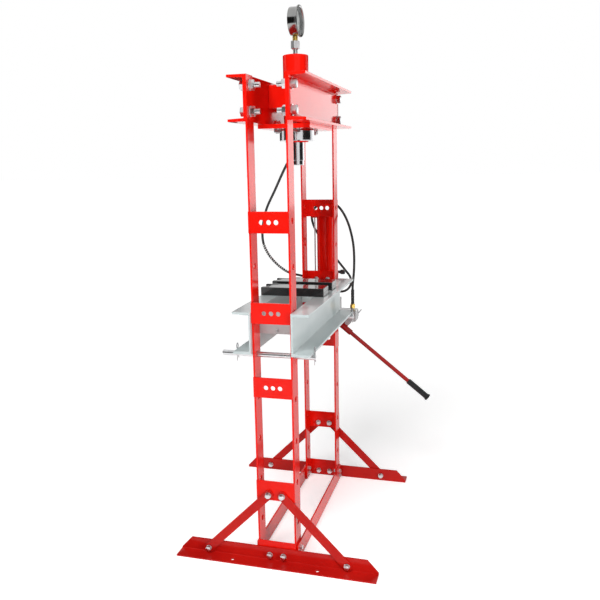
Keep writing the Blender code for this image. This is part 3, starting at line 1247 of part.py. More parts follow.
def guard_points(line):
    """One helix round the hose between two of its places, with a short straight lead at each end."""
    joints = [Vector(point) for point in line]
    ends = []
    for target in (GUARD_START_POINT, GUARD_END_POINT):
        nearest = min(range(len(joints)), key=lambda number: (joints[number] - Vector(target)).length)
        ends.append(nearest)
    first, last = ends
    stretch = joints[first : last + 1]
    run = [0.0]
    for a, b in zip(stretch, stretch[1:]):
        run.append(run[-1] + (b - a).length)
    radius = (HOSE_RADIUS + SEAT_GAP + GUARD_WIRE_RADIUS) / math.cos(math.pi / GUARD_POINTS_PER_CURL)
    radius += SEAT_GAP
    total = GUARD_CURLS * GUARD_POINTS_PER_CURL
    tangents = [(b - a).normalized() for a, b in zip(stretch, stretch[1:])]
    sides = [tangents[0].orthogonal().normalized()]
    for before, after in zip(tangents, tangents[1:]):
        sides.append(before.rotation_difference(after) @ sides[-1])
    points = []
    for step in range(total + 1):
        at = run[-1] * step / total
        number = min(len(tangents) - 1, max(0, int(np.searchsorted(run, at)) - 1))
        centre = stretch[number] + tangents[number] * (at - run[number])
        turn = Matrix.Rotation(math.tau * step / GUARD_POINTS_PER_CURL, 3, tangents[number])
        points.append(centre + turn @ (sides[number] * radius))
    lead = 2 * GUARD_WIRE_RADIUS
    points.insert(0, points[0] + (points[0] - points[1]).normalized() * lead)
    points.append(points[-1] + (points[-1] - points[-2]).normalized() * lead)
    return points


def least_gap(points, wire_radius, near):
    """The least clear distance between stretches of one wire that are more than some points apart."""
    line = np.array(points)
    fine = np.concatenate([np.linspace(a, b, GAP_STEPS, endpoint=False) for a, b in zip(line, line[1:])])
    number = np.arange(len(fine)) / GAP_STEPS
    apart = np.linalg.norm(fine[:, None] - fine[None], axis=2)
    far = np.abs(number[:, None] - number[None]) > near
    return float(apart[far].min() - 2 * wire_radius)


def make_hose():
    """The pressure hose, its end fittings and the spring guard round its first bend."""
    port_z = BARREL_SEAT_Z + PORT_HEIGHT
    start = (BARREL_RADIUS + SEAT_GAP, 0, port_z)
    ram_end = make_fitting("ram_hose_fitting", start, (1, 0, 0), RAM_FERRULE_LENGTH)
    port = (PUMP_X, -PUMP_PORT_REACH, PUMP_SHELF_TOP + SEAT_GAP)
    pump_end = make_fitting("pump_hose_fitting", port, (0, 0, 1), PUMP_FERRULE_LENGTH)
    first = ram_end + Vector((SEAT_GAP, 0, 0))
    last = pump_end + Vector((0, 0, SEAT_GAP))
    route = [first, *[Vector(point) for point in HOSE_ROUTE], last]
    line = smooth_line(route, HOSE_POINT_SPACING)
    tube("pressure_hose", line, HOSE_RADIUS, BLACK_RUBBER, 2)
    length = sum(np.linalg.norm(b - a) for a, b in zip(line, line[1:]))
    fine = smooth_line(route, HOSE_RADIUS)
    along = np.diff(fine, axis=0)
    along /= np.linalg.norm(along, axis=1)[:, None]
    turns = np.arccos(np.clip((along[1:] * along[:-1]).sum(1), -1, 1))
    tightest = HOSE_RADIUS / turns.max()
    worst = fine[int(turns.argmax()) + 1]
    print(f"hose: {len(line)} points, {length:.3f} m, tightest bend {tightest:.4f} m at {worst.round(3)}")
    helix = guard_points(line)
    gap = least_gap(helix, GUARD_WIRE_RADIUS, GUARD_POINTS_PER_CURL / 2)
    print(f"spring guard: {GUARD_CURLS} curls, least gap to itself {gap * 1000:.2f} mm")
    assert gap > GUARD_LEAST_GAP
    tube("hose_spring_guard", helix, GUARD_WIRE_RADIUS, BLACK_PAINT, 1)


make_posts()
make_cross_plates()
make_feet()
make_braces()
make_ties()
make_beams()
make_head()
make_ram()
make_gauge()
make_bed()
make_pins()
make_pump_block()
make_plunger()
make_lever()
make_tank()
make_bracket()
make_release_valve()
make_hose()
print("pieces:", sum(thing.type != "EMPTY" for thing in PARTS.objects), "origin at", press.location[:])
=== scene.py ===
# %% [markdown]
# # A hydraulic shop press
#
# A shop press is a tall steel frame with a ram at the top and a bed that is pinned at the height
# the work needs. This lesson dresses a finished solid model of one: every flat gets the small
# rounded edge that catches light, every round piece gets a fine turned surface, and paint, plated
# steel and rubber get materials that change over the surface as the real ones do.
#
# The solid model fixes every size and place, so nothing here is fitted by eye. A flat plate keeps
# the model's own shape, and a new piece takes its place from the box of the solid it stands for.

# %% Load the solid model
import math

import bmesh
import bpy
import numpy as np
from mathutils import Matrix, Vector


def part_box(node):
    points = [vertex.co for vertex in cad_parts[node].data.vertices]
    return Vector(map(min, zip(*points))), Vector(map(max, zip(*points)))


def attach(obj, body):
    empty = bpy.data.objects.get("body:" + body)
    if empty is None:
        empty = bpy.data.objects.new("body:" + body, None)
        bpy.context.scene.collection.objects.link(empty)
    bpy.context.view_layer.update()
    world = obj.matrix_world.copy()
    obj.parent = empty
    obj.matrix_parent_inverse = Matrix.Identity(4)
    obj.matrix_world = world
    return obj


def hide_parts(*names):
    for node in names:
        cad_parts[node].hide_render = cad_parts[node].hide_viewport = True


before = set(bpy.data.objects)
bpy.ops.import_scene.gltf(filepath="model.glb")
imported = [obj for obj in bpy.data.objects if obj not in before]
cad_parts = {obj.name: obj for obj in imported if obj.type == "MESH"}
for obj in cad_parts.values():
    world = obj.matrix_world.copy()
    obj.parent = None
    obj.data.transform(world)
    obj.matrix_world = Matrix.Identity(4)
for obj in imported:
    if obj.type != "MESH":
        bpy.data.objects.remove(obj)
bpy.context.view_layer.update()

SCENE = bpy.context.scene
SCENE.view_settings.view_transform = "Standard"

# %% [markdown]
# ## Where things are
#
# The press is easiest to measure from the middle of its ram. The ring nut sits round that axis,
# so the middle of its box gives it, and `at` turns a place measured from the ram into the scene's.

# %% Places measured from the ram
NUT_LOW, NUT_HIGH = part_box("ring_nut")
RAM_AXIS = Vector(((NUT_LOW.x + NUT_HIGH.x) / 2, (NUT_LOW.y + NUT_HIGH.y) / 2, 0))
X, Y, Z = Vector((1, 0, 0)), Vector((0, 1, 0)), Vector((0, 0, 1))
FRONT = -Y


def at(x, y, z):
    """A place measured from the ram's axis and the floor."""
    return RAM_AXIS + Vector((x, y, z))


print("ram axis at", [round(value, 5) for value in RAM_AXIS])

# %% [markdown]
# ## The camera
#
# The photograph looks along the press from its left end, a little from the front and from just
# under the head. Three small turns of a level view, roll, pitch and heading, say this more
# clearly than a matrix does, so the camera's own axes are built from them.

# %% Camera
CAMERA_PLACE, FOCAL_LENGTH, SENSOR_WIDTH = (-2.43935, -0.63362, 1.3336), 41.95, 36.0
roll, pitch, heading = math.radians(-2.013), math.radians(10.977), math.radians(15.824)
lens = bpy.data.cameras.new("photo_camera")
lens.lens, lens.sensor_width = FOCAL_LENGTH, SENSOR_WIDTH
camera = bpy.data.objects.new("photo_camera", lens)
SCENE.collection.objects.link(camera)
turn = Matrix.Rotation(roll, 3, "X") @ Matrix.Rotation(pitch, 3, "Y") @ Matrix.Rotation(heading, 3, "Z")
right, up, back = turn @ -Y, turn @ Z, turn @ -X
camera.matrix_world = Matrix.Translation(CAMERA_PLACE) @ Matrix((right, up, back)).transposed().to_4x4()
SCENE.camera = camera
print("camera looks along", [round(-value, 3) for value in back])

# %% [markdown]
# ## Building node trees
#
# Every material, and every shape that repeats, is a node tree that is built in code. The helper
# that matters is `add_node`: what it is given for an input is either another node's socket, which
# it links, or a plain value, which it sets. A whole node then reads as one line.

# %% Node helpers
FLOAT, INTEGER, COLOR, VECTOR = ("NodeSocket" + kind for kind in ("Float", "Int", "Color", "Vector"))


def fill(tree, socket, value):
    """Links a socket to another one, or sets its own value."""
    if isinstance(value, bpy.types.NodeSocket):
        tree.links.new(value, socket)
    else:
        socket.default_value = value


def add_node(tree, kind, values=(), **settings):
    """A node with its settings, and its inputs linked or set."""
    node = tree.nodes.new(kind)
    for name, value in settings.items():
        setattr(node, name, value)
    for key, value in dict(values).items():
        fill(tree, node.inputs[key], value)
    return node


def math_node(tree, operation, *values):
    return add_node(tree, "ShaderNodeMath", dict(enumerate(values)), operation=operation).outputs[0]


def new_tree(name, kind, inputs, outputs):
    """A tree with named inputs and outputs, and the sockets that stand for them inside it."""
    tree = bpy.data.node_groups.new(name, kind)
    for label, socket_kind, *value in inputs:
        socket = tree.interface.new_socket(label, in_out="INPUT", socket_type=socket_kind)
        if value:
            socket.default_value = value[0]
    for label, socket_kind in outputs:
        tree.interface.new_socket(label, in_out="OUTPUT", socket_type=socket_kind)
    return tree, tree.nodes.new("NodeGroupInput").outputs, tree.nodes.new("NodeGroupOutput").inputs


print("helpers for node trees are ready")

# %% [markdown]
# ## Shared effects for the materials
#
# Two effects are used by many finishes, so each is a node group. `surface_change` mixes two tones
# of a finish over slow noise and gives fine noise for the bump. `fine_scratches` gives a mask of
# thin stretched marks: noise is near its middle value only along thin lines. A group puts out only
# what varies over the surface, and each material sets its fixed values on the shader itself.

# %% Shared effects


def noise(tree, vector, scale, detail):
    values = {"Vector": vector, "Scale": scale, "Detail": detail}
    return add_node(tree, "ShaderNodeTexNoise", values).outputs["Fac"]


def spread(tree, value, low, high, out_low=0.0, out_high=1.0):
    """Maps a stretch of values onto another one."""
    values = {"Value": value, "From Min": low, "From Max": high, "To Min": out_low, "To Max": out_high}
    return add_node(tree, "ShaderNodeMapRange", values).outputs["Result"]


def mix_colors(tree, factor, first, second):
    node = add_node(tree, "ShaderNodeMix", {"Factor": factor}, data_type="RGBA")
    for label, value in (("A", first), ("B", second)):
        fill(tree, next(s for s in node.inputs if s.name == label and s.type == "RGBA"), value)
    return next(s for s in node.outputs if s.type == "RGBA")


def surface_place(tree, scale):
    """The place on the object, as it is and stretched."""
    place = tree.nodes.new("ShaderNodeTexCoord").outputs["Object"]
    return place, add_node(tree, "ShaderNodeMapping", {"Vector": place, "Scale": scale}).outputs["Vector"]


change_tree, given, made = new_tree(
    "surface_change", "ShaderNodeTree",
    [("Main Tone", COLOR), ("Second Tone", COLOR), ("Patch Scale", FLOAT), ("Grain Scale", FLOAT),
     ("Stretch", VECTOR), ("Smoothest", FLOAT), ("Roughest", FLOAT)],
    [("Tone", COLOR), ("Roughness", FLOAT), ("Height", FLOAT)],
)
place, stretched = surface_place(change_tree, given["Stretch"])
patches = noise(change_tree, place, given["Patch Scale"], 4.0)
tone_share = spread(change_tree, patches, 0.38, 0.68)
rough = spread(change_tree, patches, 0.3, 0.7, given["Smoothest"], given["Roughest"])
fill(change_tree, made["Tone"], mix_colors(change_tree, tone_share, given["Main Tone"], given["Second Tone"]))
fill(change_tree, made["Roughness"], rough)
fill(change_tree, made["Height"], noise(change_tree, stretched, given["Grain Scale"], 1.5))

scratch_tree, given, made = new_tree(
    "fine_scratches", "ShaderNodeTree",
    [("Scale", FLOAT), ("Direction", VECTOR), ("Spread", FLOAT)], [("Mask", FLOAT)],
)
place, stretched = surface_place(scratch_tree, given["Direction"])
marks = noise(scratch_tree, stretched, given["Scale"], 3.0)
from_line = math_node(scratch_tree, "ABSOLUTE", math_node(scratch_tree, "SUBTRACT", marks, 0.5))
fill(scratch_tree, made["Mask"], math_node(scratch_tree, "LESS_THAN", from_line, given["Spread"]))
print("node groups:", [tree.name for tree in bpy.data.node_groups])

# %% [markdown]
# ## One finish
#
# A finish has two tones, a least and a greatest roughness, and fine dimples. What is the same all
# over, such as how metallic it is or how thick its clear coat is, is a value on the shader.

# %% Finish
DIMPLE_DEPTH = 0.0002


def blank_material(name):
    material = bpy.data.materials.new(name)
    material.use_nodes = True
    return material, material.node_tree


def set_shader(tree, values):
    """Links or sets the inputs of a material's shader."""
    shader = tree.nodes["Principled BSDF"]
    for label, value in values.items():
        fill(tree, shader.inputs[label.replace("_", " ")], value)


def finish(name, main, second, rough, patch=6.0, grain=400.0, stretch=(1, 1, 1), bump=0.1,
           scratches=None, **shader_values):
    """One material: the shared change of tone, perhaps scratches, and the shader's fixed values."""
    material, tree = blank_material(name)
    material.diffuse_color = (*main, 1)
    change = add_node(tree, "ShaderNodeGroup", {
        "Main Tone": (*main, 1), "Second Tone": (*second, 1), "Patch Scale": patch, "Grain Scale": grain,
        "Stretch": stretch, "Smoothest": rough[0], "Roughest": rough[1]}, node_tree=change_tree).outputs
    tone = change["Tone"]
    if scratches:
        scale, direction, width, color = scratches
        marks = add_node(tree, "ShaderNodeGroup", {"Scale": scale, "Direction": direction, "Spread": width},
                         node_tree=scratch_tree)
        tone = mix_colors(tree, marks.outputs["Mask"], tone, (*color, 1))
    values = {"Strength": bump, "Distance": DIMPLE_DEPTH, "Height": change["Height"]}
    dimpled = add_node(tree, "ShaderNodeBump", values).outputs["Normal"]
    set_shader(tree, {"Base Color": tone, "Roughness": change["Roughness"], "Normal": dimpled, **shader_values})
    return material


print("dimples are", DIMPLE_DEPTH * 1000, "mm deep")

# %% [markdown]
# ## Paint
#
# The press is powder coated: a thick, glossy, slightly dimpled skin. The gloss is a coat over a
# duller base, because that keeps the colour strong face on and pale at a grazing angle, as on the
# side faces of the posts. The feet and braces are a darker red, and the lever is darker still.

# %% Paints
COAT = {"Coat_Weight": 1.0, "Coat_Roughness": 0.13, "Coat_IOR": 1.25, "Specular_IOR_Level": 0.0}
red_paint = finish("red_paint", (0.84, 0.009, 0.003), (0.78, 0.007, 0.003), (0.34, 0.42), grain=260.0, **COAT)
dark_red_paint = finish(
    "dark_red_paint", (0.56, 0.012, 0.008), (0.48, 0.008, 0.006), (0.36, 0.46), grain=260.0, **COAT,
)
handle_paint = finish(
    "handle_paint", (0.36, 0.007, 0.005), (0.30, 0.006, 0.004), (0.32, 0.42), grain=260.0,
    **{**COAT, "Coat_Roughness": 0.10, "Coat_IOR": 1.35},
)
grey_paint = finish(
    "grey_paint", (0.56, 0.62, 0.62), (0.50, 0.57, 0.575), (0.32, 0.42), patch=4.0, grain=260.0,
    Coat_Weight=0.45, Coat_Roughness=0.10,
)
black_paint = finish(
    "black_paint", (0.010, 0.010, 0.011), (0.014, 0.014, 0.015), (0.35, 0.45), patch=50.0, grain=900.0,
)
dial_white = finish(
    "dial_white", (0.80, 0.80, 0.78), (0.76, 0.76, 0.74), (0.45, 0.55), patch=30.0, grain=600.0, bump=0.02,
)
print("paints:", len(bpy.data.materials))

# %% [markdown]
# ## Metal, rubber and plastic
#
# Plated and turned steel is metallic with patchy roughness. The guard round the hose is dull
# plating, so it is only partly metallic, and stays light where a mirror would show dark cloth.
# The arbor plates are blackened and ground, with fine scratches along them.

# %% Metal, rubber and plastic
chrome = finish("chrome", (0.66, 0.66, 0.68), (0.60, 0.60, 0.62), (0.10, 0.20), patch=14.0, grain=900.0,
                stretch=(1, 1, 0.15), bump=0.05, Metallic=1.0)
zinc = finish("zinc", (0.72, 0.72, 0.73), (0.60, 0.61, 0.62), (0.26, 0.38), patch=60.0, grain=1100.0,
              bump=0.12, Metallic=1.0)
pump_steel = finish("pump_steel", (0.36, 0.35, 0.35), (0.26, 0.26, 0.26), (0.22, 0.36), patch=30.0,
                    grain=700.0, bump=0.2, Metallic=1.0)
brass = finish("brass", (0.88, 0.62, 0.16), (0.78, 0.52, 0.13), (0.28, 0.42), patch=50.0, grain=900.0,
               Metallic=1.0)
gauge_steel = finish("gauge_steel", (0.34, 0.34, 0.33), (0.30, 0.30, 0.30), (0.10, 0.18), patch=20.0,
                     grain=1200.0, stretch=(1, 0.2, 1), bump=0.04, Metallic=1.0)
black_steel = finish(
    "black_steel", (0.008, 0.008, 0.009), (0.016, 0.015, 0.016), (0.10, 0.24), patch=18.0, grain=300.0,
    bump=0.04, scratches=(45.0, (1.0, 9.0, 9.0), 0.006, (0.05, 0.05, 0.05)),
    Coat_Weight=0.6, Coat_Roughness=0.05, Specular_IOR_Level=0.4,
)
spring_wire = finish("spring_wire", (0.46, 0.46, 0.47), (0.36, 0.36, 0.37), (0.22, 0.34), patch=120.0,
                     grain=1400.0, Metallic=1.0)
guard_steel = finish("guard_steel", (0.86, 0.86, 0.84), (0.74, 0.74, 0.72), (0.42, 0.54), patch=90.0,
                     grain=1400.0, Metallic=0.3)
black_plastic = finish("black_plastic", (0.014, 0.014, 0.015), (0.022, 0.022, 0.023), (0.30, 0.42),
                       patch=60.0, grain=900.0)
grip_rubber = finish("grip_rubber", (0.008, 0.008, 0.009), (0.014, 0.014, 0.014), (0.26, 0.38), patch=40.0,
                     grain=700.0, bump=0.2, Specular_IOR_Level=0.3)
hose_rubber = finish("hose_rubber", (0.016, 0.018, 0.018), (0.028, 0.030, 0.030), (0.34, 0.46), patch=50.0,
                     grain=800.0, bump=0.25)
print("finishes:", len(bpy.data.materials))

# %% [markdown]
# Glass is the one finish without a change of tone: it keeps a plain transmission, and only its
# roughness varies a little, like the faint film on a gauge that has been handled.

# %% Gauge glass
GREATEST_FILM = 0.06
gauge_glass, glass_tree = blank_material("gauge_glass")
spot = glass_tree.nodes.new("ShaderNodeTexCoord").outputs["Object"]
film = spread(glass_tree, noise(glass_tree, spot, 25.0, 3.0), 0.3, 0.7, 0.0, GREATEST_FILM)
set_shader(glass_tree, {"Base Color": (0.95, 0.97, 0.97, 1), "Transmission Weight": 1.0, "IOR": 1.45,
                        "Roughness": film})
print("glass roughness: up to", GREATEST_FILM)

# %% [markdown]
# ## Finishing a piece
#
# Every piece ends the same way: it is linked, takes its material, rides on the body it belongs to
# and stands for the solid it replaces.

# %% Finishing a piece
SHARP = math.radians(38)


def hand_over(thing, material, body, stands_for=()):
    """Links an object, and gives it its finish, its body and the solids it stands for."""
    thing.data.materials.append(material)
    SCENE.collection.objects.link(thing)
    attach(thing, body)
    if stands_for:
        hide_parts(*stands_for)
    return thing


def made_mesh(shape, name="shape"):
    """The mesh of a bmesh, which is freed."""
    mesh = bpy.data.meshes.new(name)
    shape.to_mesh(mesh)
    shape.free()
    return mesh


def piece(name, meshes, material, body, stands_for=(), edge=0.0):
    """Several meshes as one finished piece. An edge above zero rounds its sharp edges by that much."""
    shape = bmesh.new()
    for mesh in meshes:
        shape.from_mesh(mesh)
        bpy.data.meshes.remove(mesh)
    joined = made_mesh(shape, name)
    joined.shade_smooth()
    joined.set_sharp_from_angle(angle=SHARP)
    thing = bpy.data.objects.new(name, joined)
    if edge:
        rounding = thing.modifiers.new("edge", "BEVEL")
        rounding.width, rounding.segments = edge, 2
        rounding.limit_method, rounding.angle_limit = "ANGLE", SHARP
        rounding.harden_normals = True
    return hand_over(thing, material, body, stands_for)


print("corners count as sharp from", round(math.degrees(SHARP)), "degrees")

# %% [markdown]
# ## Shapes
#
# Most of the press is either a solid's own flat plate or something turned, so the builders are
# few: a whole copy of a solid, a lathe, and a disc, a round bar and a hexagon that use the lathe.
# Each returns a mesh that is already in place.

# %% Shape builders
SAME_PLACE, SAME_TURNED_PLACE, LONG_EDGE = 0.00001, 0.000001, 0.5


def shape_of(node, fillet=0.0):
    """A copy of a solid's mesh, made whole. A fillet rounds its long inner corner, as rolling does."""
    shape = bmesh.new()
    shape.from_mesh(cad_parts[node].data)
    bmesh.ops.remove_doubles(shape, verts=shape.verts, dist=SAME_PLACE)
    bmesh.ops.dissolve_limit(shape, angle_limit=math.radians(0.5), verts=shape.verts, edges=shape.edges)
    corner = [edge for edge in shape.edges if not edge.is_convex and edge.calc_length() > LONG_EDGE]
    if fillet and corner:
        bmesh.ops.bevel(shape, geom=corner, offset=fillet, segments=5, affect="EDGES", profile=0.5)
    return made_mesh(shape)


def lathe(profile, place, axis, sides=96, closed=False):
    """Spins (radius, height) points round an axis. An open profile starts and ends on the axis."""
    shape = bmesh.new()
    points = [shape.verts.new((radius, 0, height)) for radius, height in profile]
    pairs = list(zip(points, points[1:])) + ([(points[-1], points[0])] if closed else [])
    edges = [shape.edges.new(pair) for pair in pairs]
    bmesh.ops.spin(shape, geom=points + edges, cent=(0, 0, 0), axis=Z, angle=math.tau, steps=sides,
                   use_merge=True)
    bmesh.ops.remove_doubles(shape, verts=shape.verts, dist=SAME_TURNED_PLACE)
    bmesh.ops.recalc_face_normals(shape, faces=shape.faces)
    stand = Vector(axis).to_track_quat("Z", "Y").to_matrix().to_4x4()
    shape.transform(Matrix.Translation(place) @ stand)
    return made_mesh(shape)


def disc(place, axis, radius, thickness):
    return lathe([(0, 0), (radius, 0), (radius, thickness), (0, thickness)], place, axis)


def bar(start, end, radius, sides=48, chamfer=0.0):
    """A round bar between two places, perhaps with a small chamfer at both ends."""
    way = Vector(end) - Vector(start)
    length = way.length
    profile = [(0, 0), (radius, 0), (radius, length), (0, length)]
    if chamfer:
        profile = [(0, 0), (radius - chamfer, 0), (radius, chamfer), (radius, length - chamfer),
                   (radius - chamfer, length), (0, length)]
    return lathe(profile, start, way, sides)


def hexagon(start, end, across):
    """A hexagon bar, with the corners turned off at both ends as on a nut."""
    way = Vector(end) - Vector(start)
    corner, length = across / 2 / math.cos(math.pi / 6), way.length
    drop = (corner - across / 2) * 0.6
    return lathe([(0, 0), (across / 2, 0), (corner, drop), (corner, length - drop),
                  (across / 2, length), (0, length)], start, way, 6)


def block(low, high):
    shape = bmesh.new()
    bmesh.ops.create_cube(shape, size=1)
    shape.transform(Matrix.Translation((low + high) / 2) @ Matrix.Diagonal((*(high - low), 1)))
    return made_mesh(shape)


print("solids to dress:", len(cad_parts))

# %% [markdown]
# ## The pressure hose
#
# The hose is one length of rubber, so its shape is its route: out of the ram, down the rear side
# to the height of the bed, round to the front, up past the oil tank, over, and down into the
# pump. The route's points are the solid's own. A centripetal curve goes through them all without
# overshooting where they lie unevenly, and stepping along it evenly gives a smooth tube.

# %% Hose route
HOSE_RADIUS = 0.005
HOSE_ROUTE = (
    (0.1066, 0, 1.48), (0.135, 0, 1.4803), (0.1504, 0.001, 1.4777), (0.1639, 0.005, 1.4709),
    (0.174, 0.011, 1.4606), (0.18, 0.02, 1.447), (0.186, 0.036, 1.421), (0.194, 0.062, 1.383),
    (0.207, 0.103, 1.325), (0.225, 0.156, 1.232), (0.245, 0.203, 1.148), (0.262, 0.226, 1.06),
    (0.279, 0.227, 1.009), (0.295, 0.213, 0.967), (0.312, 0.191, 0.932), (0.33, 0.167, 0.905),
    (0.347, 0.143, 0.886), (0.378, 0.099, 0.869), (0.4, 0.074, 0.859), (0.421, 0.048, 0.846),
    (0.437, 0.019, 0.828), (0.445, -0.008, 0.81), (0.448, -0.032, 0.798), (0.448, -0.055, 0.793),
    (0.448, -0.0775, 0.799), (0.448, -0.094, 0.8155), (0.448, -0.1, 0.838),
    (0.448, -0.094, 0.8605), (0.448, -0.073, 0.888), (0.448, -0.043, 0.925), (0.448, 0, 0.98),
    (0.444, 0.036, 1.03), (0.44, 0.057, 1.07), (0.437, 0.065, 1.108), (0.435, 0.058, 1.137),
    (0.432, 0.038, 1.157), (0.428, 0.012, 1.166), (0.423, -0.02, 1.169), (0.417, -0.05, 1.157),
    (0.412, -0.073, 1.132), (0.407, -0.095, 1.091), (0.404, -0.109, 1.048), (0.401, -0.118, 1.006),
    (0.4, -0.122, 0.964), (0.4, -0.1225, 0.92), (0.4, -0.1205, 0.876), (0.4, -0.1165, 0.836),
    (0.4, -0.1155, 0.8126),
)


def mixed(t, start, end, first, second):
    """A mix of two places: all of the first at the start, and all of the second at the end."""
    return first + (second - first) * (t - start) / (end - start)


def smooth_line(route, spacing, steps=40):
    """Evenly spaced points on a smooth curve through a route."""
    corners = np.array([tuple(point) for point in route])
    corners = np.vstack([2 * corners[0] - corners[1], corners, 2 * corners[-1] - corners[-2]])
    samples = []
    for a, b, c, d in zip(corners, corners[1:], corners[2:], corners[3:]):
        knots = [0.0]
        for first, second in ((a, b), (b, c), (c, d)):
            knots.append(knots[-1] + math.sqrt(np.linalg.norm(second - first)))
        k0, k1, k2, k3 = knots
        for t in np.linspace(k1, k2, steps, endpoint=False):
            ab, bc, cd = mixed(t, k0, k1, a, b), mixed(t, k1, k2, b, c), mixed(t, k2, k3, c, d)
            samples.append(mixed(t, k1, k2, mixed(t, k0, k2, ab, bc), mixed(t, k1, k3, bc, cd)))
    samples = np.array(samples + [corners[-2]])
    run = np.concatenate([[0], np.cumsum(np.linalg.norm(np.diff(samples, axis=0), axis=1))])
    stops = np.linspace(0, run[-1], max(2, round(run[-1] / spacing) + 1))
    return [Vector(point) for point in
            np.column_stack([np.interp(stops, run, samples[:, axis]) for axis in range(3)])]


hose_line = smooth_line([at(*point) for point in HOSE_ROUTE], HOSE_RADIUS)
hose_length = sum((b - a).length for a, b in zip(hose_line, hose_line[1:]))
print(f"hose: {len(hose_line)} points, {hose_length:.3f} m")

# %% [markdown]
# A curve with a round bevel is the simplest true tube, and it stays a curve, so its length can
# still be measured. The clips on the bed's pins are made with the same helper.

# %% Hose


def wire(name, points, radius, material, body, stands_for, resolution=3):
    """A round wire or hose along its points."""
    line = bpy.data.curves.new(name, "CURVE")
    line.dimensions, line.bevel_depth, line.bevel_resolution = "3D", radius, resolution
    line.use_fill_caps = True
    spline = line.splines.new("POLY")
    spline.points.add(len(points) - 1)
    for point, place in zip(spline.points, points):
        point.co = (*place, 1)
    spline.use_smooth = True
    return hand_over(bpy.data.objects.new(name, line), material, body, stands_for)


hose = wire("hose", hose_line, HOSE_RADIUS, hose_rubber, "frame", ["pressure_hose"], 4)
print("hose is", round(2000 * HOSE_RADIUS), "mm thick")

# %% [markdown]
# ## Hose ends
#
# A hydraulic hose ends in a crimped ferrule: a steel sleeve pressed onto the rubber in even bands,
# then a hexagon to hold with a spanner. The bands follow a count, so the profile is a short loop.

# %% Hose fittings
FERRULE_RADIUS, CRIMP_RADIUS, CRIMPS = 0.007, 0.0063, 5
FITTING_ACROSS, NECK_RADIUS, NECK_LENGTH, HEX_LENGTH = 0.019, 0.006, 0.006, 0.016


def hose_end(name, node, start, way, ferrule_length):
    """The fitting from its port to the end of its ferrule: a neck, a hexagon and crimped bands."""
    hex_start = start + way * NECK_LENGTH
    ferrule_start = hex_start + way * HEX_LENGTH
    band = ferrule_length / CRIMPS
    profile = [(0, 0)]
    for low in (count * band for count in range(CRIMPS)):
        profile += [(CRIMP_RADIUS, low), (FERRULE_RADIUS, low + band * 0.18),
                    (FERRULE_RADIUS, low + band * 0.82), (CRIMP_RADIUS, low + band)]
    profile.append((0, ferrule_length))
    metal = [bar(start - way * 0.004, hex_start, NECK_RADIUS),
             hexagon(hex_start, ferrule_start, FITTING_ACROSS),
             disc(ferrule_start - way * 0.0005, way, 0.0083, 0.003)]
    return (piece(name, metal, brass, "frame", [node]),
            piece(name + "_ferrule", [lathe(profile, ferrule_start, way)], black_paint, "frame"))


ram_end = hose_end("ram_end_of_hose", "ram_hose_fitting", at(0.0443, 0, 1.480), X, 0.040)
pump_end = hose_end("pump_end_of_hose", "pump_hose_fitting", at(0.400, -0.1155, 0.7273), Z, 0.063)
print("hose ends:", [thing.name for thing in (*ram_end, *pump_end)])

# %% [markdown]
# ## Growing pieces with Geometry Nodes
#
# What repeats, or follows a path, is grown by a node tree: a guard that winds round the hose, the
# bolts, and the marks on the gauge. Each tree has named inputs for its real sizes and ends by
# making its instances real and setting the material. The result is read back as a plain mesh, so
# that the finished press holds ordinary geometry.

# %% Geometry Nodes helpers
SHAPE = "NodeSocketGeometry"


def geometry_tree(name, inputs):
    given = [("Geometry", SHAPE), *inputs, ("Material", "NodeSocketMaterial")]
    return new_tree(name, "GeometryNodeTree", given, [("Geometry", SHAPE)])


def vector_math(tree, operation, values):
    return add_node(tree, "ShaderNodeVectorMath", values, operation=operation).outputs["Vector"]


def scaled(tree, vector, factor):
    return vector_math(tree, "SCALE", {"Vector": vector, "Scale": factor})


def vector_of(tree, values):
    """A vector from its X, Y and Z."""
    return add_node(tree, "ShaderNodeCombineXYZ", values).outputs["Vector"]


def end_tree(tree, geometry, given, made):
    """Makes the instances real, sets the material and closes the tree."""
    real = add_node(tree, "GeometryNodeRealizeInstances", {"Geometry": geometry}).outputs["Geometry"]
    values = {"Geometry": real, "Material": given["Material"]}
    fill(tree, made["Geometry"], add_node(tree, "GeometryNodeSetMaterial", values).outputs["Geometry"])


def grown(name, start, tree, material, body, stands_for=()):
    """The plain mesh that a tree grows from a starting mesh, as a finished piece."""
    seed = bpy.data.objects.new(name + "_seed", start)
    SCENE.collection.objects.link(seed)
    modifier = seed.modifiers.new("grow", "NODES")
    modifier.node_group = tree
    modifier[next(item.identifier for item in tree.interface.items_tree if item.name == "Material")] = material
    mesh = bpy.data.meshes.new_from_object(seed.evaluated_get(bpy.context.evaluated_depsgraph_get()))
    bpy.data.objects.remove(seed)
    thing = piece(name, [mesh], material, body, stands_for)
    print(f"{name}: {len(thing.data.polygons)} faces")
    return thing


print("helpers for growing pieces are ready")

# %% [markdown]
# ## The spring guard
#
# Where the hose comes down to the bed, a flat steel strip winds round it, so that it can't kink or
# chafe. It is a helix along a path, so the tree resamples the hose's own line, pushes each point
# out sideways by an angle that grows along it, and sweeps a flattened ring along the result.

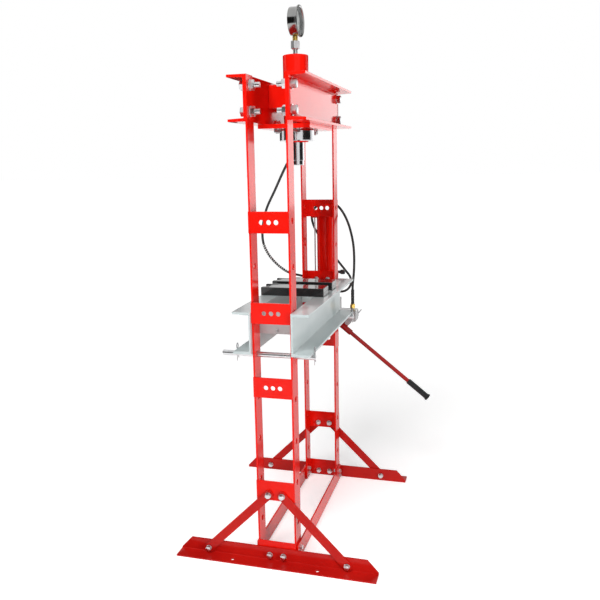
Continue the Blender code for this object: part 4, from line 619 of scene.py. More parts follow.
# %% Spring guard tree
CURLS, POINTS_PER_CURL, GUARD_GAP = 17, 28, 0.0009
guard_tree, given, made = geometry_tree("spring_guard", [
    ("Curls", FLOAT, CURLS), ("Points", INTEGER, CURLS * POINTS_PER_CURL),
    ("Coil Radius", FLOAT, HOSE_RADIUS + GUARD_GAP), ("Strip Thickness", FLOAT, 0.0015),
    ("Strip Width", FLOAT, 0.0025)])
path = add_node(guard_tree, "GeometryNodeMeshToCurve", {"Mesh": given["Geometry"]}).outputs["Curve"]
even = add_node(guard_tree, "GeometryNodeResampleCurve", {"Curve": path, "Count": given["Points"]})
along = guard_tree.nodes.new("GeometryNodeSplineParameter").outputs["Factor"]
angle = math_node(guard_tree, "MULTIPLY", math_node(guard_tree, "MULTIPLY", along, given["Curls"]), math.tau)
tangent = guard_tree.nodes.new("GeometryNodeInputTangent").outputs["Tangent"]
normal = guard_tree.nodes.new("GeometryNodeInputNormal").outputs["Normal"]
sideways = vector_math(guard_tree, "CROSS_PRODUCT", {0: tangent, 1: normal})
outward = vector_math(guard_tree, "ADD", {
    0: scaled(guard_tree, normal, math_node(guard_tree, "COSINE", angle)),
    1: scaled(guard_tree, sideways, math_node(guard_tree, "SINE", angle))})
keep = guard_tree.nodes.new("GeometryNodeCaptureAttribute")
keep.capture_items.new("VECTOR", "Outward")
fill(guard_tree, keep.inputs["Geometry"], even.outputs["Curve"])
fill(guard_tree, keep.inputs["Outward"], outward)
outward = keep.outputs["Outward"]
push = add_node(guard_tree, "GeometryNodeSetPosition", {
    "Geometry": keep.outputs["Geometry"], "Offset": scaled(guard_tree, outward, given["Coil Radius"])})
face_out = add_node(guard_tree, "GeometryNodeSetCurveNormal",
                    {"Curve": push.outputs["Geometry"], "Normal": outward}, mode="FREE")
ring = add_node(guard_tree, "GeometryNodeCurvePrimitiveCircle", {"Resolution": 12, "Radius": 0.5})
strip = vector_of(guard_tree, {"X": given["Strip Thickness"], "Y": given["Strip Width"], "Z": 1.0})
flat = add_node(guard_tree, "GeometryNodeTransform", {"Geometry": ring.outputs["Curve"], "Scale": strip})
sweep = add_node(guard_tree, "GeometryNodeCurveToMesh", {
    "Curve": face_out.outputs["Curve"], "Profile Curve": flat.outputs["Geometry"], "Fill Caps": True})
end_tree(guard_tree, sweep.outputs["Mesh"], given, made)
print("spring guard tree:", len(guard_tree.nodes), "nodes")

# %% [markdown]
# The guard covers only the stretch between two places on the hose. That stretch, as a mesh of
# bare edges, is what the tree starts from.

# %% Spring guard
GUARD_START, GUARD_END = (0.280, 0.229, 1.009), (0.345, 0.146, 0.885)


def nearest(place):
    """The number of the hose's point that is nearest to a place."""
    return min(range(len(hose_line)), key=lambda count: (hose_line[count] - at(*place)).length)


covered = hose_line[nearest(GUARD_START) : nearest(GUARD_END) + 1]
guarded = bpy.data.meshes.new("guarded_stretch")
guarded.from_pydata([tuple(point) for point in covered], [(i, i + 1) for i in range(len(covered) - 1)], [])
grown("spring_guard", guarded, guard_tree, guard_steel, "frame", ["hose_spring_guard"])

# %% [markdown]
# ## Frame
#
# Posts, cross plates, feet, braces, tie bars and beams are flat bar and rolled channel. Their
# shapes are already exact, so each is its solid's own mesh with a small rounded edge: without that
# edge a painted corner has no highlight and looks like card. The feet are rolled angle, so their
# inner corner is rounded too.

# %% Flat pieces of the frame
PAINT_EDGE, ROLLED_CORNER = 0.0009, 0.002
SIDES, ENDS = ("left", "right"), ("front", "rear")
RED_FLATS = [f"{side}_{end}_post" for side in SIDES for end in ENDS]
RED_FLATS += [f"left_{row}_cross_plate" for row in ("top", "upper", "middle", "lower", "foot")]
RED_FLATS += [f"right_{row}_cross_plate" for row in ("top", "pump", "middle", "lower", "foot")]
RED_FLATS += ["front_tie_bar", "rear_tie_bar", "front_top_beam", "rear_top_beam", "left_head_plate",
              "right_head_plate", "carrier_plate", "pump_bracket"]
DARK_FLATS = [f"{side}_{end}_brace" for side in SIDES for end in ENDS] + ["left_foot", "right_foot"]
for nodes, paint, fillet in ((RED_FLATS, red_paint, 0.0), (DARK_FLATS, dark_red_paint, ROLLED_CORNER)):
    for node in nodes:
        piece(node + "_coated", [shape_of(node, fillet)], paint, "frame", [node], PAINT_EDGE)
print("coated flats:", len(RED_FLATS) + len(DARK_FLATS))

# %% [markdown]
# ## Fasteners
#
# The frame is bolted, and the zinc plated heads and nuts are what the eye finds first on the red
# paint. All of them share one tree. First it makes one washer, one hexagon that stands on it with
# its top corners turned off, and one thread.

# %% Fastener shapes
bolt_tree, given, made = geometry_tree("bolt_ends", [
    ("Across Flats", FLOAT, 0.017), ("Head Height", FLOAT, 0.0075), ("Washer Radius", FLOAT, 0.0105),
    ("Washer Thickness", FLOAT, 0.002), ("Thread Radius", FLOAT, 0.005)])


def cylinder(tree, sides, radius, depth, height):
    """A cylinder that stands on the given height, and its node."""
    node = add_node(tree, "GeometryNodeMeshCylinder", {"Vertices": sides, "Radius": radius, "Depth": depth})
    middle = math_node(tree, "ADD", height, math_node(tree, "MULTIPLY", depth, 0.5))
    values = {"Geometry": node.outputs["Mesh"], "Translation": vector_of(tree, {"Z": middle})}
    return add_node(tree, "GeometryNodeTransform", values).outputs["Geometry"], node


corner_radius = math_node(bolt_tree, "MULTIPLY", given["Across Flats"], 0.5 / math.cos(math.pi / 6))
washer, _ = cylinder(bolt_tree, 32, given["Washer Radius"], given["Washer Thickness"], 0.0)
head, head_node = cylinder(bolt_tree, 6, corner_radius, given["Head Height"], given["Washer Thickness"])
thread, _ = cylinder(bolt_tree, 20, given["Thread Radius"], 1.0, 0.0)
turned_off = add_node(bolt_tree, "GeometryNodeExtrudeMesh", {
    "Mesh": head, "Selection": head_node.outputs["Top"], "Offset Scale": 0.0009})
narrowed = add_node(bolt_tree, "GeometryNodeScaleElements", {
    "Geometry": turned_off.outputs["Mesh"], "Selection": turned_off.outputs["Top"], "Scale": 0.86})
both = bolt_tree.nodes.new("GeometryNodeJoinGeometry")
for shape in (washer, narrowed.outputs["Geometry"]):
    fill(bolt_tree, both.inputs["Geometry"], shape)
head_top = math_node(bolt_tree, "ADD", given["Washer Thickness"], given["Head Height"])
print("fastener shapes:", len(bolt_tree.nodes), "nodes so far")

# %% [markdown]
# Then it copies them. A starting mesh holds one point for each head or nut, with the way it faces,
# its size against an M10, its turn about its own axis, and the length of thread that stands past
# it. The thread is stretched to reach that far.

# %% Fastener copies


def stored(name, kind="FLOAT"):
    """A value that the starting mesh stores on its points."""
    node = add_node(bolt_tree, "GeometryNodeInputNamedAttribute", {"Name": name}, data_type=kind)
    return node.outputs["Attribute"]


facing = add_node(bolt_tree, "FunctionNodeAlignRotationToVector", {"Vector": stored("facing", "FLOAT_VECTOR")},
                  axis="Z")
spin_by = add_node(bolt_tree, "FunctionNodeAxisAngleToRotation", {"Angle": stored("spin")})
spin = add_node(bolt_tree, "FunctionNodeRotateRotation", {
    "Rotation": facing.outputs["Rotation"], "Rotate By": spin_by.outputs["Rotation"]}, rotation_space="LOCAL")
size = stored("size")
tail_length = math_node(bolt_tree, "ADD", math_node(bolt_tree, "MULTIPLY", size, head_top), stored("tail"))
tail_scale = vector_of(bolt_tree, {"X": size, "Y": size, "Z": tail_length})
ends = bolt_tree.nodes.new("GeometryNodeJoinGeometry")
for shape, scale in ((both.outputs["Geometry"], size), (thread, tail_scale)):
    copies = add_node(bolt_tree, "GeometryNodeInstanceOnPoints", {
        "Points": given["Geometry"], "Instance": shape, "Rotation": spin.outputs["Rotation"], "Scale": scale})
    fill(bolt_tree, ends.inputs["Geometry"], copies.outputs["Instances"])
end_tree(bolt_tree, ends.outputs["Geometry"], given, made)
print("fastener tree:", len(bolt_tree.nodes), "nodes")

# %% [markdown]
# The places follow the holes. A head or nut sits on the outermost plate that its bolt holds: the
# braces lie outside the lower cross plates and outside the feet, so their heads do too, and the
# nuts sit on the inner faces. Each call below is a place, the way out of the face, the size and
# the length of thread past the nut.

# %% Fastener places
POST_X, POST_Y, WEB_Y = 0.310, 0.061, 0.0733
PLATE_IN, FOOT_IN, FOOT_OUT, BRACE_TOP, BRACE_FOOT, PUMP_PLATE = 0.3403, 0.3465, 0.3516, 0.3524, 0.3583, 0.3526
BEAM_BOLT_HEIGHTS, TIE_BOLT_HEIGHTS = (1.491, 1.569), (0.020, 0.042)
PLATE_BOLT_Y, BRACE_FOOT_Y, CARRIER_BOLT = 0.024, 0.245, (0.118, 0.034)
BEAM_BOLT, TIE_BOLT, CARRIER_SIZE, SHORT_TAIL = 1.65, 0.8, 1.2, 0.003
bolts = []


def bolt(place, way, size=1.0, tail=0.0):
    spin_of_this_one = math.radians(37 * len(bolts) % 60)
    bolts.append((at(*place), Vector(way), size, tail, spin_of_this_one))


for x in (-1, 1):
    for y in (-1, 1):
        for height in BEAM_BOLT_HEIGHTS:
            bolt((x * POST_X, y * WEB_Y, height), (0, y, 0), BEAM_BOLT)
            bolt((x * POST_X, y * POST_Y, height), (0, -y, 0), BEAM_BOLT, 0.018)
        for height in TIE_BOLT_HEIGHTS:
            bolt((x * POST_X, y * WEB_Y, height), (0, y, 0), TIE_BOLT)
            bolt((x * POST_X, y * POST_Y, height), (0, -y, 0), TIE_BOLT, SHORT_TAIL)
        for outside, inside, across, height in (
            (BRACE_TOP, PLATE_IN, PLATE_BOLT_Y, 0.2415), (FOOT_OUT, PLATE_IN, PLATE_BOLT_Y, 0.0225),
            (BRACE_FOOT, FOOT_IN, BRACE_FOOT_Y, 0.022),
        ):
            bolt((x * outside, y * across, height), (x, 0, 0))
            bolt((x * inside, y * across, height), (-x, 0, 0), 1.0, SHORT_TAIL)
        carrier_x, carrier_y = x * CARRIER_BOLT[0], y * CARRIER_BOLT[1]
        bolt((carrier_x, carrier_y, 1.4457), (0, 0, -1), CARRIER_SIZE, 0.004)
        bolt((carrier_x, carrier_y, 1.4597), (0, 0, 1), CARRIER_SIZE)
for y in (-1, 1):
    bolt((PLATE_IN, y * PLATE_BOLT_Y, 0.863), (-1, 0, 0))
    bolt((PUMP_PLATE, y * PLATE_BOLT_Y, 0.863), (1, 0, 0), 1.0, SHORT_TAIL)

places = bpy.data.meshes.new("bolt_places")
places.from_pydata([tuple(row[0]) for row in bolts], [], [])
facings = places.attributes.new("facing", "FLOAT_VECTOR", "POINT")
facings.data.foreach_set("vector", [part for row in bolts for part in row[1]])
for column, label in enumerate(("size", "tail", "spin"), start=2):
    places.attributes.new(label, "FLOAT", "POINT").data.foreach_set("value", [row[column] for row in bolts])
grown("frame_bolts", places, bolt_tree, zinc, "frame")

# %% [markdown]
# ## Ram
#
# Barrel, ring nut and piston are turned, so each is a profile spun round the ram's axis. Ninety-six
# steps keep the outline round in a close view. The ring nut has a set screw and a fine chamfer,
# and the piston ends in a slimmer pressed-in tip.

# %% Barrel, ring nut and piston
barrel_low, barrel_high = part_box("ram_barrel")
piston_low, piston_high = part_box("ram_piston")
top, mouth, seat = barrel_high.z, barrel_low.z, NUT_HIGH.z + 0.0146
piece(
    "barrel", [lathe(
        [(0, top), (0.0405, top), (0.0428, top - 0.0008), (0.0437, top - 0.0022), (0.044, top - 0.0045),
         (0.044, seat), (0.040, seat), (0.040, mouth), (0.0262, mouth), (0.0256, mouth + 0.0008),
         (0.0256, mouth + 0.02), (0, mouth + 0.02)], RAM_AXIS, Z)],
    red_paint, "frame", ["ram_barrel"],
)
NUT_CHAMFER, NUT_BORE = 0.003, 0.0403
nut_radius = (NUT_HIGH.x - NUT_LOW.x) / 2
piece(
    "clamping_ring", [lathe(
        [(NUT_BORE, NUT_HIGH.z), (nut_radius - NUT_CHAMFER, NUT_HIGH.z), (nut_radius, NUT_HIGH.z - NUT_CHAMFER),
         (nut_radius, NUT_LOW.z + NUT_CHAMFER), (nut_radius - NUT_CHAMFER, NUT_LOW.z), (0.042, NUT_LOW.z),
         (NUT_BORE, NUT_LOW.z + 0.0015)], RAM_AXIS, Z, closed=True)],
    chrome, "frame", ["ring_nut"],
)
piece("clamping_ring_screw", [bar(at(-0.0595, 0.008, 1.4264), at(-0.0598, 0.008, 1.4264), 0.0032, 24)],
      black_paint, "frame")
tip, tip_top = piston_low.z, piston_low.z + 0.016
piece(
    "piston", [lathe(
        [(0, piston_high.z), (0.0245, piston_high.z), (0.0245, tip_top + 0.0008), (0.0238, tip_top),
         (0.0225, tip_top), (0.0225, tip + 0.0015), (0.0212, tip), (0, tip)], RAM_AXIS, Z)],
    chrome, "ram", ["ram_piston"],
)
print("piston shows", round(mouth - tip, 4), "m below the barrel")

# %% [markdown]
# ## Pressure gauge
#
# The gauge is a steel can with a rolled bezel, a white dial and a glass that sits in the bezel. It
# stands on a hexagon bar and a brass adapter, and it faces the front. A black liner inside the can
# is painted shade: it darkens what is seen through the glass. The can, its liner, the dial and the
# glass are turned round the Y axis.

# %% Gauge body
stem_low, stem_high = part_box("gauge_stem")
fit_low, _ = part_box("gauge_fitting")
gauge_low, gauge_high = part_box("gauge_case")
glass_low, glass_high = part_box("gauge_glass")
gauge_z, glass_depth = (gauge_low.z + gauge_high.z) / 2, glass_high.y - glass_low.y
gauge_middle = Vector((RAM_AXIS.x, gauge_high.y, gauge_z))
dial_face = gauge_middle + FRONT * 0.0168
HEX_SIZE = 0.027
hex_z = stem_high.z - HEX_SIZE
piece(
    "gauge_stem_bar", [
        bar(at(0, 0, stem_low.z + 0.004), at(0, 0, hex_z + 0.002), 0.008),
        hexagon(at(0, 0, hex_z), at(0, 0, stem_high.z), HEX_SIZE),
        disc(at(0, 0, hex_z - 0.002), Z, 0.0105, 0.002)],
    zinc, "frame", ["gauge_stem"],
)
piece(
    "gauge_adapter", [lathe(
        [(0, 0), (0.0078, 0), (0.009, 0.0012), (0.009, 0.0045), (0.0082, 0.0052), (0.0082, 0.0062),
         (0.009, 0.007), (0.009, 0.0138), (0.0078, 0.015), (0.005, 0.015), (0.005, 0.0178), (0, 0.0178)],
        at(0, 0, fit_low.z), Z)],
    brass, "frame", ["gauge_fitting"],
)
piece(
    "gauge_can", [lathe(
        [(0, 0), (0.044, 0), (0.0462, 0.0008), (0.047, 0.003), (0.047, 0.0285), (0.0485, 0.029),
         (0.0508, 0.0295), (0.052, 0.031), (0.052, 0.0335), (0.0508, 0.0349), (0.0478, 0.035),
         (0.0452, 0.0338), (0.0445, 0.032), (0.0445, 0.0288), (0.0438, 0.0288), (0.0438, 0.003), (0, 0.003)],
        gauge_middle, FRONT)],
    gauge_steel, "frame", ["gauge_case"],
)
# A black sleeve inside the can: painted shade for the dark inside of the gauge seen through the glass.
shade_liner = [(0.0431, 0.0178), (0.0436, 0.0178), (0.0436, 0.0286), (0.0431, 0.0286)]
piece("gauge_shade_liner", [lathe(shade_liner, gauge_middle, FRONT, closed=True)], black_paint, "frame")
piece("gauge_dial", [disc(dial_face, FRONT, 0.0434, 0.0008)], dial_white, "frame")
piece(
    "gauge_window", [lathe(
        [(0, 0), (0.0440, 0), (0.0444, 0.0004), (0.0444, glass_depth - 0.0004), (0.0440, glass_depth),
         (0.02, glass_depth + 0.0002), (0, glass_depth + 0.0003)],
        Vector((RAM_AXIS.x, glass_high.y, gauge_z)), FRONT)],
    gauge_glass, "frame", ["gauge_glass"],
)
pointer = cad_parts["gauge_pointer"]
pointer.data.materials.clear()
pointer.data.materials.append(black_paint)
print("gauge middle:", [round(value, 4) for value in gauge_middle])

# %% [markdown]
# The dial's marks are grown by a tree: points on an arc by their index, each with a thin tick, and
# every tenth one longer and wider. The sweep is three quarters of a turn, from lower left to
# lower right, as on most gauges.

# %% Gauge marks
MARKS_PER_NUMBER = 10
tick_tree, given, made = geometry_tree("dial_ticks", [
    ("Count", INTEGER, 61), ("Start Angle", FLOAT, -2.356), ("Sweep", FLOAT, 4.712),
    ("Ring Radius", FLOAT, 0.0395), ("Tick Length", FLOAT, 0.0026), ("Tick Width", FLOAT, 0.0004)])
dots = add_node(tick_tree, "GeometryNodePoints", {"Count": given["Count"]}).outputs["Points"]
index = tick_tree.nodes.new("GeometryNodeInputIndex").outputs["Index"]
share = math_node(tick_tree, "DIVIDE", index, math_node(tick_tree, "SUBTRACT", given["Count"], 1.0))
swept = math_node(tick_tree, "MULTIPLY", share, given["Sweep"])
angle = math_node(tick_tree, "ADD", given["Start Angle"], swept)
sine, cosine = (math_node(tick_tree, kind, angle) for kind in ("SINE", "COSINE"))
spoke = vector_of(tick_tree, {"X": sine, "Z": cosine})
on_ring = add_node(tick_tree, "GeometryNodeSetPosition", {
    "Geometry": dots, "Position": scaled(tick_tree, spoke, given["Ring Radius"])})
tick_size = vector_of(tick_tree, {"X": given["Tick Width"], "Y": 0.0003, "Z": given["Tick Length"]})
tick = add_node(tick_tree, "GeometryNodeMeshCube", {"Size": tick_size}).outputs["Mesh"]
in_group = math_node(tick_tree, "MODULO", index, float(MARKS_PER_NUMBER))
long_one = math_node(tick_tree, "COMPARE", in_group, 0.0)
growth = math_node(tick_tree, "ADD", math_node(tick_tree, "MULTIPLY", long_one, 0.9), 1.0)
ticks = add_node(tick_tree, "GeometryNodeInstanceOnPoints", {
    "Points": on_ring.outputs["Geometry"], "Instance": tick,
    "Rotation": vector_of(tick_tree, {"Y": angle}),
    "Scale": vector_of(tick_tree, {"X": growth, "Y": 1.0, "Z": growth})})
end_tree(tick_tree, ticks.outputs["Instances"], given, made)

one_point = bpy.data.meshes.new("dial_middle")
one_point.from_pydata([(0, 0, 0)], [], [])
mark_face = dial_face + FRONT * 0.0009
marks = grown("dial_marks", one_point, tick_tree, black_paint, "frame")
marks.data.transform(Matrix.Translation(mark_face))

# %% [markdown]
# The numbers are plain text, one at every long mark. Text becomes a mesh before it is put in
# place, because a finished piece has its place in its mesh.

# %% Gauge numbers
NUMBER_COUNT, NUMBER_STEP, NUMBER_HEIGHT, NUMBER_RING = 7, 5, 0.0078, 0.0305
numbers = []
for step in range(NUMBER_COUNT):
    text = bpy.data.curves.new("number", "FONT")
    text.body, text.size, text.extrude = str(step * NUMBER_STEP), NUMBER_HEIGHT, 0.0001
    text.align_x, text.align_y = "CENTER", "CENTER"
    holder = bpy.data.objects.new("number", text)
    SCENE.collection.objects.link(holder)
    angle = math.radians(-135 + 45 * step)
    spot = mark_face + Vector((math.sin(angle), 0, math.cos(angle))) * NUMBER_RING
    number = bpy.data.meshes.new_from_object(holder.evaluated_get(bpy.context.evaluated_depsgraph_get()))
    number.transform(Matrix.Translation(spot) @ Matrix.Rotation(math.pi / 2, 4, "X"))
    bpy.data.objects.remove(holder)
    numbers.append(number)
piece("dial_numbers", numbers, black_paint, "frame")
print("dial numbers: 0 to", (NUMBER_COUNT - 1) * NUMBER_STEP)

# %% [markdown]
# ## Bed
#
# The bed is two rolled channels with spreaders between them, in pale grey powder coat. The two
# arbor plates on it are thick blackened steel whose faces are ground almost to a mirror, so they
# get a finer edge than the paint and a scratched, glossy finish.

# %% Bed pieces
GROUND_EDGE = 0.0004
for node in ("front_bed_channel", "rear_bed_channel", "left_bed_spreader", "right_bed_spreader"):
    piece(node + "_coated", [shape_of(node)], grey_paint, "bed", [node], PAINT_EDGE)
for side in SIDES:
    node = f"{side}_arbor_plate"
    piece(node + "_ground", [shape_of(node)], black_steel, f"{side}_arbor", [node], GROUND_EDGE)
bed_low, bed_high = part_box("front_bed_channel")
print("bed is", round(bed_high.x - bed_low.x, 3), "m long")

# %% [markdown]
# ## Pins and clips
#
# Each bed pin is plated bar with a chamfer at both ends, held by a bent wire clip at each end. The
# clip is one wire: a straight leg that passes through the pin, and a wavy leg that grips its side.
# Its route is written as shares of the pin's flank and the clip's height, as a bender would set it.

# %% Pins and clips
PIN_Z, PIN_RADIUS, CLIP_Y, CLIP_SPAN, CLIP_RADIUS, CLIP_GAP = 0.7178, 0.009, 0.1325, 0.060, 0.0015, 0.0006
CLIP_SHARES = (
    (0.00, -0.45), (0.00, -0.20), (0.00, 0.05), (0.00, 0.25), (-0.20, 0.36), (-0.05, 0.48), (0.45, 0.55),
    (0.95, 0.49), (1.00, 0.38), (0.78, 0.27), (0.88, 0.15), (1.00, 0.04), (1.01, -0.08), (1.10, -0.20),
    (1.30, -0.32),
)
flank = PIN_RADIUS + CLIP_RADIUS + CLIP_GAP
for side, x in zip(SIDES, (-POST_X, POST_X)):
    low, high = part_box(f"{side}_bed_pin")
    start, end = (Vector((RAM_AXIS.x + x, y, (low.z + high.z) / 2)) for y in (low.y, high.y))
    rod = bar(start, end, PIN_RADIUS, 64, 0.0015)
    piece(f"{side}_pin_bar", [rod], zinc, f"{side}_pin", [f"{side}_bed_pin"])
    for place, y in zip(ENDS, (-CLIP_Y, CLIP_Y)):
        route = [at(x + flank * across, y, PIN_Z + CLIP_SPAN * rise) for across, rise in CLIP_SHARES]
        clip = f"{side}_{place}_clip"
        wire(clip + "_wire", smooth_line(route, 0.0012), CLIP_RADIUS, spring_wire, clip, [clip])
print("pins are", round((end - start).length, 3), "m long")

# %% [markdown]
# ## Hand pump
#
# The pump hangs beside the right frame: a steel block with a nose for the release valve and the
# hose, a plunger that the lever's crank lifts, and a red oil tank clamped on top by a lid and two
# tie rods. The block, the plunger's fork and the crank keep their solids' shapes.

# %% Pump block, plunger and crank
PUMP_X = 0.400
piece("pump_body", [shape_of("pump_block")], pump_steel, "frame", ["pump_block"], 0.0007)
piece("plunger_fork", [shape_of("pump_plunger")], chrome, "plunger", ["pump_plunger"], 0.0005)
piece("crank", [shape_of("lever_crank")], handle_paint, "lever", ["lever_crank"], 0.0006)
print("pump is", PUMP_X, "m from the ram's axis")

# %% [markdown]
# The lever is a tube with a rubber sleeve. The sleeve has a rim at its end and eighteen shallow
# grooves, which follow a count, so they are a short loop in its profile. The sleeve is hollow,
# with the tube inside it.

# %% Handle and grip
LEVER_ANGLE, HANDLE_LENGTH, HANDLE_RADIUS = math.radians(38.9), 0.460, 0.0085
GROOVES, GROOVE_STEP, GRIP_RADIUS = 18, 0.0046, 0.0120
along_handle = Vector((0, -math.cos(LEVER_ANGLE), -math.sin(LEVER_ANGLE)))
off_handle = Vector((0, math.sin(LEVER_ANGLE), -math.cos(LEVER_ANGLE)))
handle_foot = at(PUMP_X, -0.096, 0.674) + off_handle * 0.029
handle_start = handle_foot + along_handle * (0.0063 - 0.018)
handle_end = handle_start + along_handle * HANDLE_LENGTH
piece("handle_tube", [bar(handle_start, handle_end, HANDLE_RADIUS, 64, 0.0006)], handle_paint, "lever",
      ["lever_handle"])
grip_tip = handle_end + along_handle * (0.0003 + 0.008)
grip = [(0, 0), (0.0118, 0), (0.0138, 0.0008), (0.0150, 0.0030), (0.0150, 0.0052), (0.0138, 0.0078),
        (GRIP_RADIUS, 0.0100)]
for low in (0.016 + count * GROOVE_STEP for count in range(GROOVES)):
    grip += [(GRIP_RADIUS, low), (0.0116, low + 0.0008), (0.0116, low + 0.0020), (GRIP_RADIUS, low + 0.0028)]
grip += [(GRIP_RADIUS, 0.1045), (0.0112, 0.1075), (0.0089, 0.1075), (0.0089, 0.009), (0, 0.009)]
piece("grip_sleeve", [lathe(grip, grip_tip, -along_handle)], grip_rubber, "lever", ["lever_grip"])
print("handle is", HANDLE_LENGTH, "m long with", GROOVES, "grooves in its grip")

# %% [markdown]
# The tank is a tube with a flat lid bar across it. Two thin plated rods with nuts pull the lid
# down on the block. A short boss on its side takes the filler plug.

# %% Oil tank
tank_low, tank_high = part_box("oil_tank")
floor_of_tank, lid = tank_low.z, tank_high.z - 0.010
piece(
    "tank_tube", [
        lathe([(0, lid - 0.003), (0.0318, lid - 0.003), (0.033, lid - 0.0042),
               (0.033, floor_of_tank + 0.0006), (0.0324, floor_of_tank), (0.030, floor_of_tank),
               (0.030, lid - 0.010), (0, lid - 0.010)], at(PUMP_X, 0, 0), Z),
        block(at(0.3835, -0.052, lid - 0.010), at(0.4165, 0.052, lid)),
        bar(at(0.414, -0.027, 0.883), at(0.414, -0.046, 0.883), 0.0095, 48, 0.0008)],
    red_paint, "frame", ["oil_tank"], 0.0008,
)
rods = []
for y in (-0.043, 0.043):
    rods.append(bar(at(PUMP_X, y, floor_of_tank), at(PUMP_X, y, tank_high.z), 0.003, 32, 0.0004))
    rods.append(hexagon(at(PUMP_X, y, lid + 0.0001), at(PUMP_X, y, lid + 0.005), 0.010))
piece("tank_tie_rods", rods, zinc, "frame")
print("tank stands", round(tank_high.z - floor_of_tank, 3), "m tall")

# %% [markdown]
# The filler plug is a ribbed black knob on a slim neck, turned round the Y axis.

# %% Filler plug
RIBS, RIB_STEP, KNOB_RADIUS = 5, 0.0026, 0.0100
knob = [(0, 0.0480), (0.0072, 0.0480), (0.0094, 0.0468), (KNOB_RADIUS, 0.0445)]
for high in (0.0440 - count * RIB_STEP for count in range(RIBS)):
    knob += [(KNOB_RADIUS, high), (0.0096, high - 0.0005), (0.0096, high - 0.0011),
             (KNOB_RADIUS, high - 0.0016)]
knob += [(KNOB_RADIUS, 0.0310), (0.0092, 0.0300), (0.0060, 0.0300), (0.0060, 0.0003), (0, 0.0003)]
piece("filler_knob", [lathe(knob, at(0.414, -0.032, 0.883), FRONT)], black_plastic, "frame", ["filler_plug"])
print("filler plug has", RIBS, "ribs")

# %% [markdown]
# The release valve is a spindle in the block's nose with a bar through its head, which the hand
# turns. The bar stands at a slant at rest, as in the photograph.

# %% Release valve
VALVE_ANGLE, BAR_REACH = math.radians(51), 0.034
valve_at = at(0.432, -0.124, 0.694)
bar_half = Vector((0, math.cos(VALVE_ANGLE), -math.sin(VALVE_ANGLE))) * BAR_REACH
bar_middle = valve_at + X * 0.0143
piece(
    "valve_spindle", [
        lathe([(0, -0.015), (0.005, -0.015), (0.005, 0.0003), (0.0082, 0.0003), (0.009, 0.0011),
               (0.009, 0.0193), (0.0080, 0.0203), (0, 0.0203)], valve_at, X),
        bar(bar_middle - bar_half, bar_middle + bar_half, 0.003, 40, 0.0006)],
    zinc, "valve", ["release_valve"],
)
print("valve bar is", 2 * BAR_REACH, "m long")

# %% [markdown]
# ## Light and floor
#
# The photograph is a studio shot on white. Metal and gloss paint look like what stands round them,
# so the surround matters as much as the lamps. The world is white for camera, glossy and glass
# rays, and a level grey for the rest, which only fills the shadows a little.

# %% World
FILL = 0.17
world = bpy.data.worlds.new("studio")
SCENE.world = world
world.use_nodes = True


def seen_share(tree):
    """1 for a camera, glossy or glass ray, and 0 for any other."""
    path = tree.nodes.new("ShaderNodeLightPath").outputs
    either = math_node(tree, "MAXIMUM", path["Is Camera Ray"], path["Is Glossy Ray"])
    return math_node(tree, "MAXIMUM", either, path["Is Transmission Ray"])


backdrop = world.node_tree.nodes["Background"]
backdrop.inputs["Color"].default_value = (1, 1, 1, 1)
level = spread(world.node_tree, seen_share(world.node_tree), 0.0, 1.0, FILL, 1.0)
fill(world.node_tree, backdrop.inputs["Strength"], level)
print("fill light:", FILL)

# %% [markdown]
# The floor is white and matt. Far from the lamps it would turn grey and draw a horizon, so for
# the same rays it also glows a little, more with distance, just enough to meet the white world.

# %% Floor
NEAR, FAR, NEAR_GLOW, FAR_GLOW, FLOOR_REACH = 0.8, 4.2, 0.53, 0.88, 60
floor_finish, floor_tree = blank_material("floor")
place = floor_tree.nodes.new("ShaderNodeTexCoord").outputs["Object"]
distance = add_node(floor_tree, "ShaderNodeVectorMath", {0: place}, operation="LENGTH").outputs["Value"]
glow = spread(floor_tree, distance, NEAR, FAR, NEAR_GLOW, FAR_GLOW)
glow = math_node(floor_tree, "MULTIPLY", seen_share(floor_tree), glow)
set_shader(floor_tree, {"Base Color": (0.86, 0.86, 0.86, 1), "Roughness": 0.9, "Specular IOR Level": 0.1,
                        "Emission Color": (1, 1, 1, 1), "Emission Strength": glow})
floor_mesh = bpy.data.meshes.new("floor")
floor_corners = [(x * FLOOR_REACH, y * FLOOR_REACH, 0) for x, y in ((-1, -1), (1, -1), (1, 1), (-1, 1))]
floor_mesh.from_pydata(floor_corners, [], [(0, 1, 2, 3)])
floor_mesh.materials.append(floor_finish)
floor = bpy.data.objects.new("floor", floor_mesh)
SCENE.collection.objects.link(floor)
print("floor glow:", NEAR_GLOW, "to", FAR_GLOW)

# %% [markdown]
# Dark cards stand where a photographer would hang black cloth, and only glossy rays see them. They
# give the chrome its dark bands and keep the red of the near plates full. Each card is a piece of
# a wide ring round the press, from one heading to another and from one height to another.

# %% Dark cards
CARD_DISTANCE, DEGREES_PER_STEP = 4.2, 4
cloth = finish("studio_black", (0.012, 0.012, 0.012), (0.020, 0.020, 0.020), (0.9, 1.0), patch=2.0, grain=50.0)


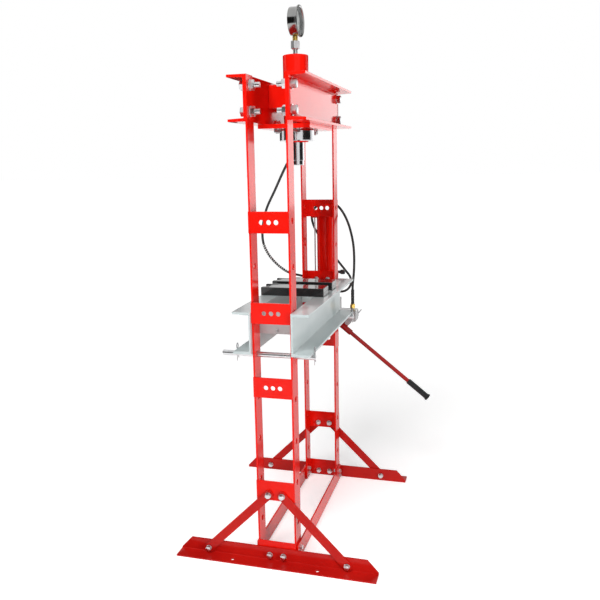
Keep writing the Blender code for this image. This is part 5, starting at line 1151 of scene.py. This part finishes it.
def dark_card(name, first, last, low, high):
    """A curved card, from one heading to another, in degrees from the X axis."""
    steps = max(2, round(abs(last - first) / DEGREES_PER_STEP))
    turns = [math.radians(first + (last - first) * step / steps) for step in range(steps + 1)]
    corners = [(CARD_DISTANCE * math.cos(turn), CARD_DISTANCE * math.sin(turn), z)
               for turn in turns for z in (low, high)]
    quads = [(2 * i, 2 * i + 2, 2 * i + 3, 2 * i + 1) for i in range(steps)]
    mesh = bpy.data.meshes.new(name)
    mesh.from_pydata(corners, [], quads)
    mesh.materials.append(cloth)
    card = bpy.data.objects.new(name, mesh)
    SCENE.collection.objects.link(card)
    card.visible_camera = card.visible_diffuse = card.visible_shadow = False
    card.visible_transmission = card.visible_volume_scatter = False


CARDS = {"card_behind_left": (100, 183, 0.25, 3.8), "card_behind_right": (234, 298, 0.25, 3.0),
         "card_far_left": (24, 76, 0.25, 3.0), "card_far_right": (306, 338, 0.0, 1.1),
         "card_far_high": (328, 356, 2.3, 3.8)}
for name, edges in CARDS.items():
    dark_card(name, *edges)
print("dark cards:", len(CARDS))

# %% [markdown]
# The main lamp hangs high over the camera, and a second one behind it at the camera's own height
# opens the shadows. The front lamp stands low on the press's front side and lights the beam, the
# bed and the front of the posts. The far lamp is there for its reflection: a face that is seen at
# a slant mirrors it, and turns pale and glossy as the front beam does.

# %% Lamps
# Each lamp: its place, what it points at, its width, its watts, and whether gloss mirrors it.
LAMPS = {"main_lamp": ((-2.3, 0.35, 3.8), (0, 0, 1.2), 1.6, 98, False),
         "low_lamp": ((-3.4, 0.4, 1.4), (0, 0, 0.8), 2.0, 16, False),
         "front_lamp": ((-2.1, -3.0, 0.9), (0, 0, 0.9), 1.5, 64, False),
         "far_lamp": ((3.2, -1.15, 1.6), (0, 0, 1.3), 1.3, 7, True)}
for name, (place, target, width, watts, mirrored) in LAMPS.items():
    light = bpy.data.lights.new(name, "AREA")
    light.shape, light.size, light.energy = "DISK", width, watts
    lamp = bpy.data.objects.new(name, light)
    SCENE.collection.objects.link(lamp)
    aim = (Vector(place) - Vector(target)).to_track_quat("Z", "Y").to_matrix().to_4x4()
    lamp.matrix_world = Matrix.Translation(place) @ aim
    lamp.visible_camera, lamp.visible_glossy = False, mirrored
print("lamps:", list(LAMPS))
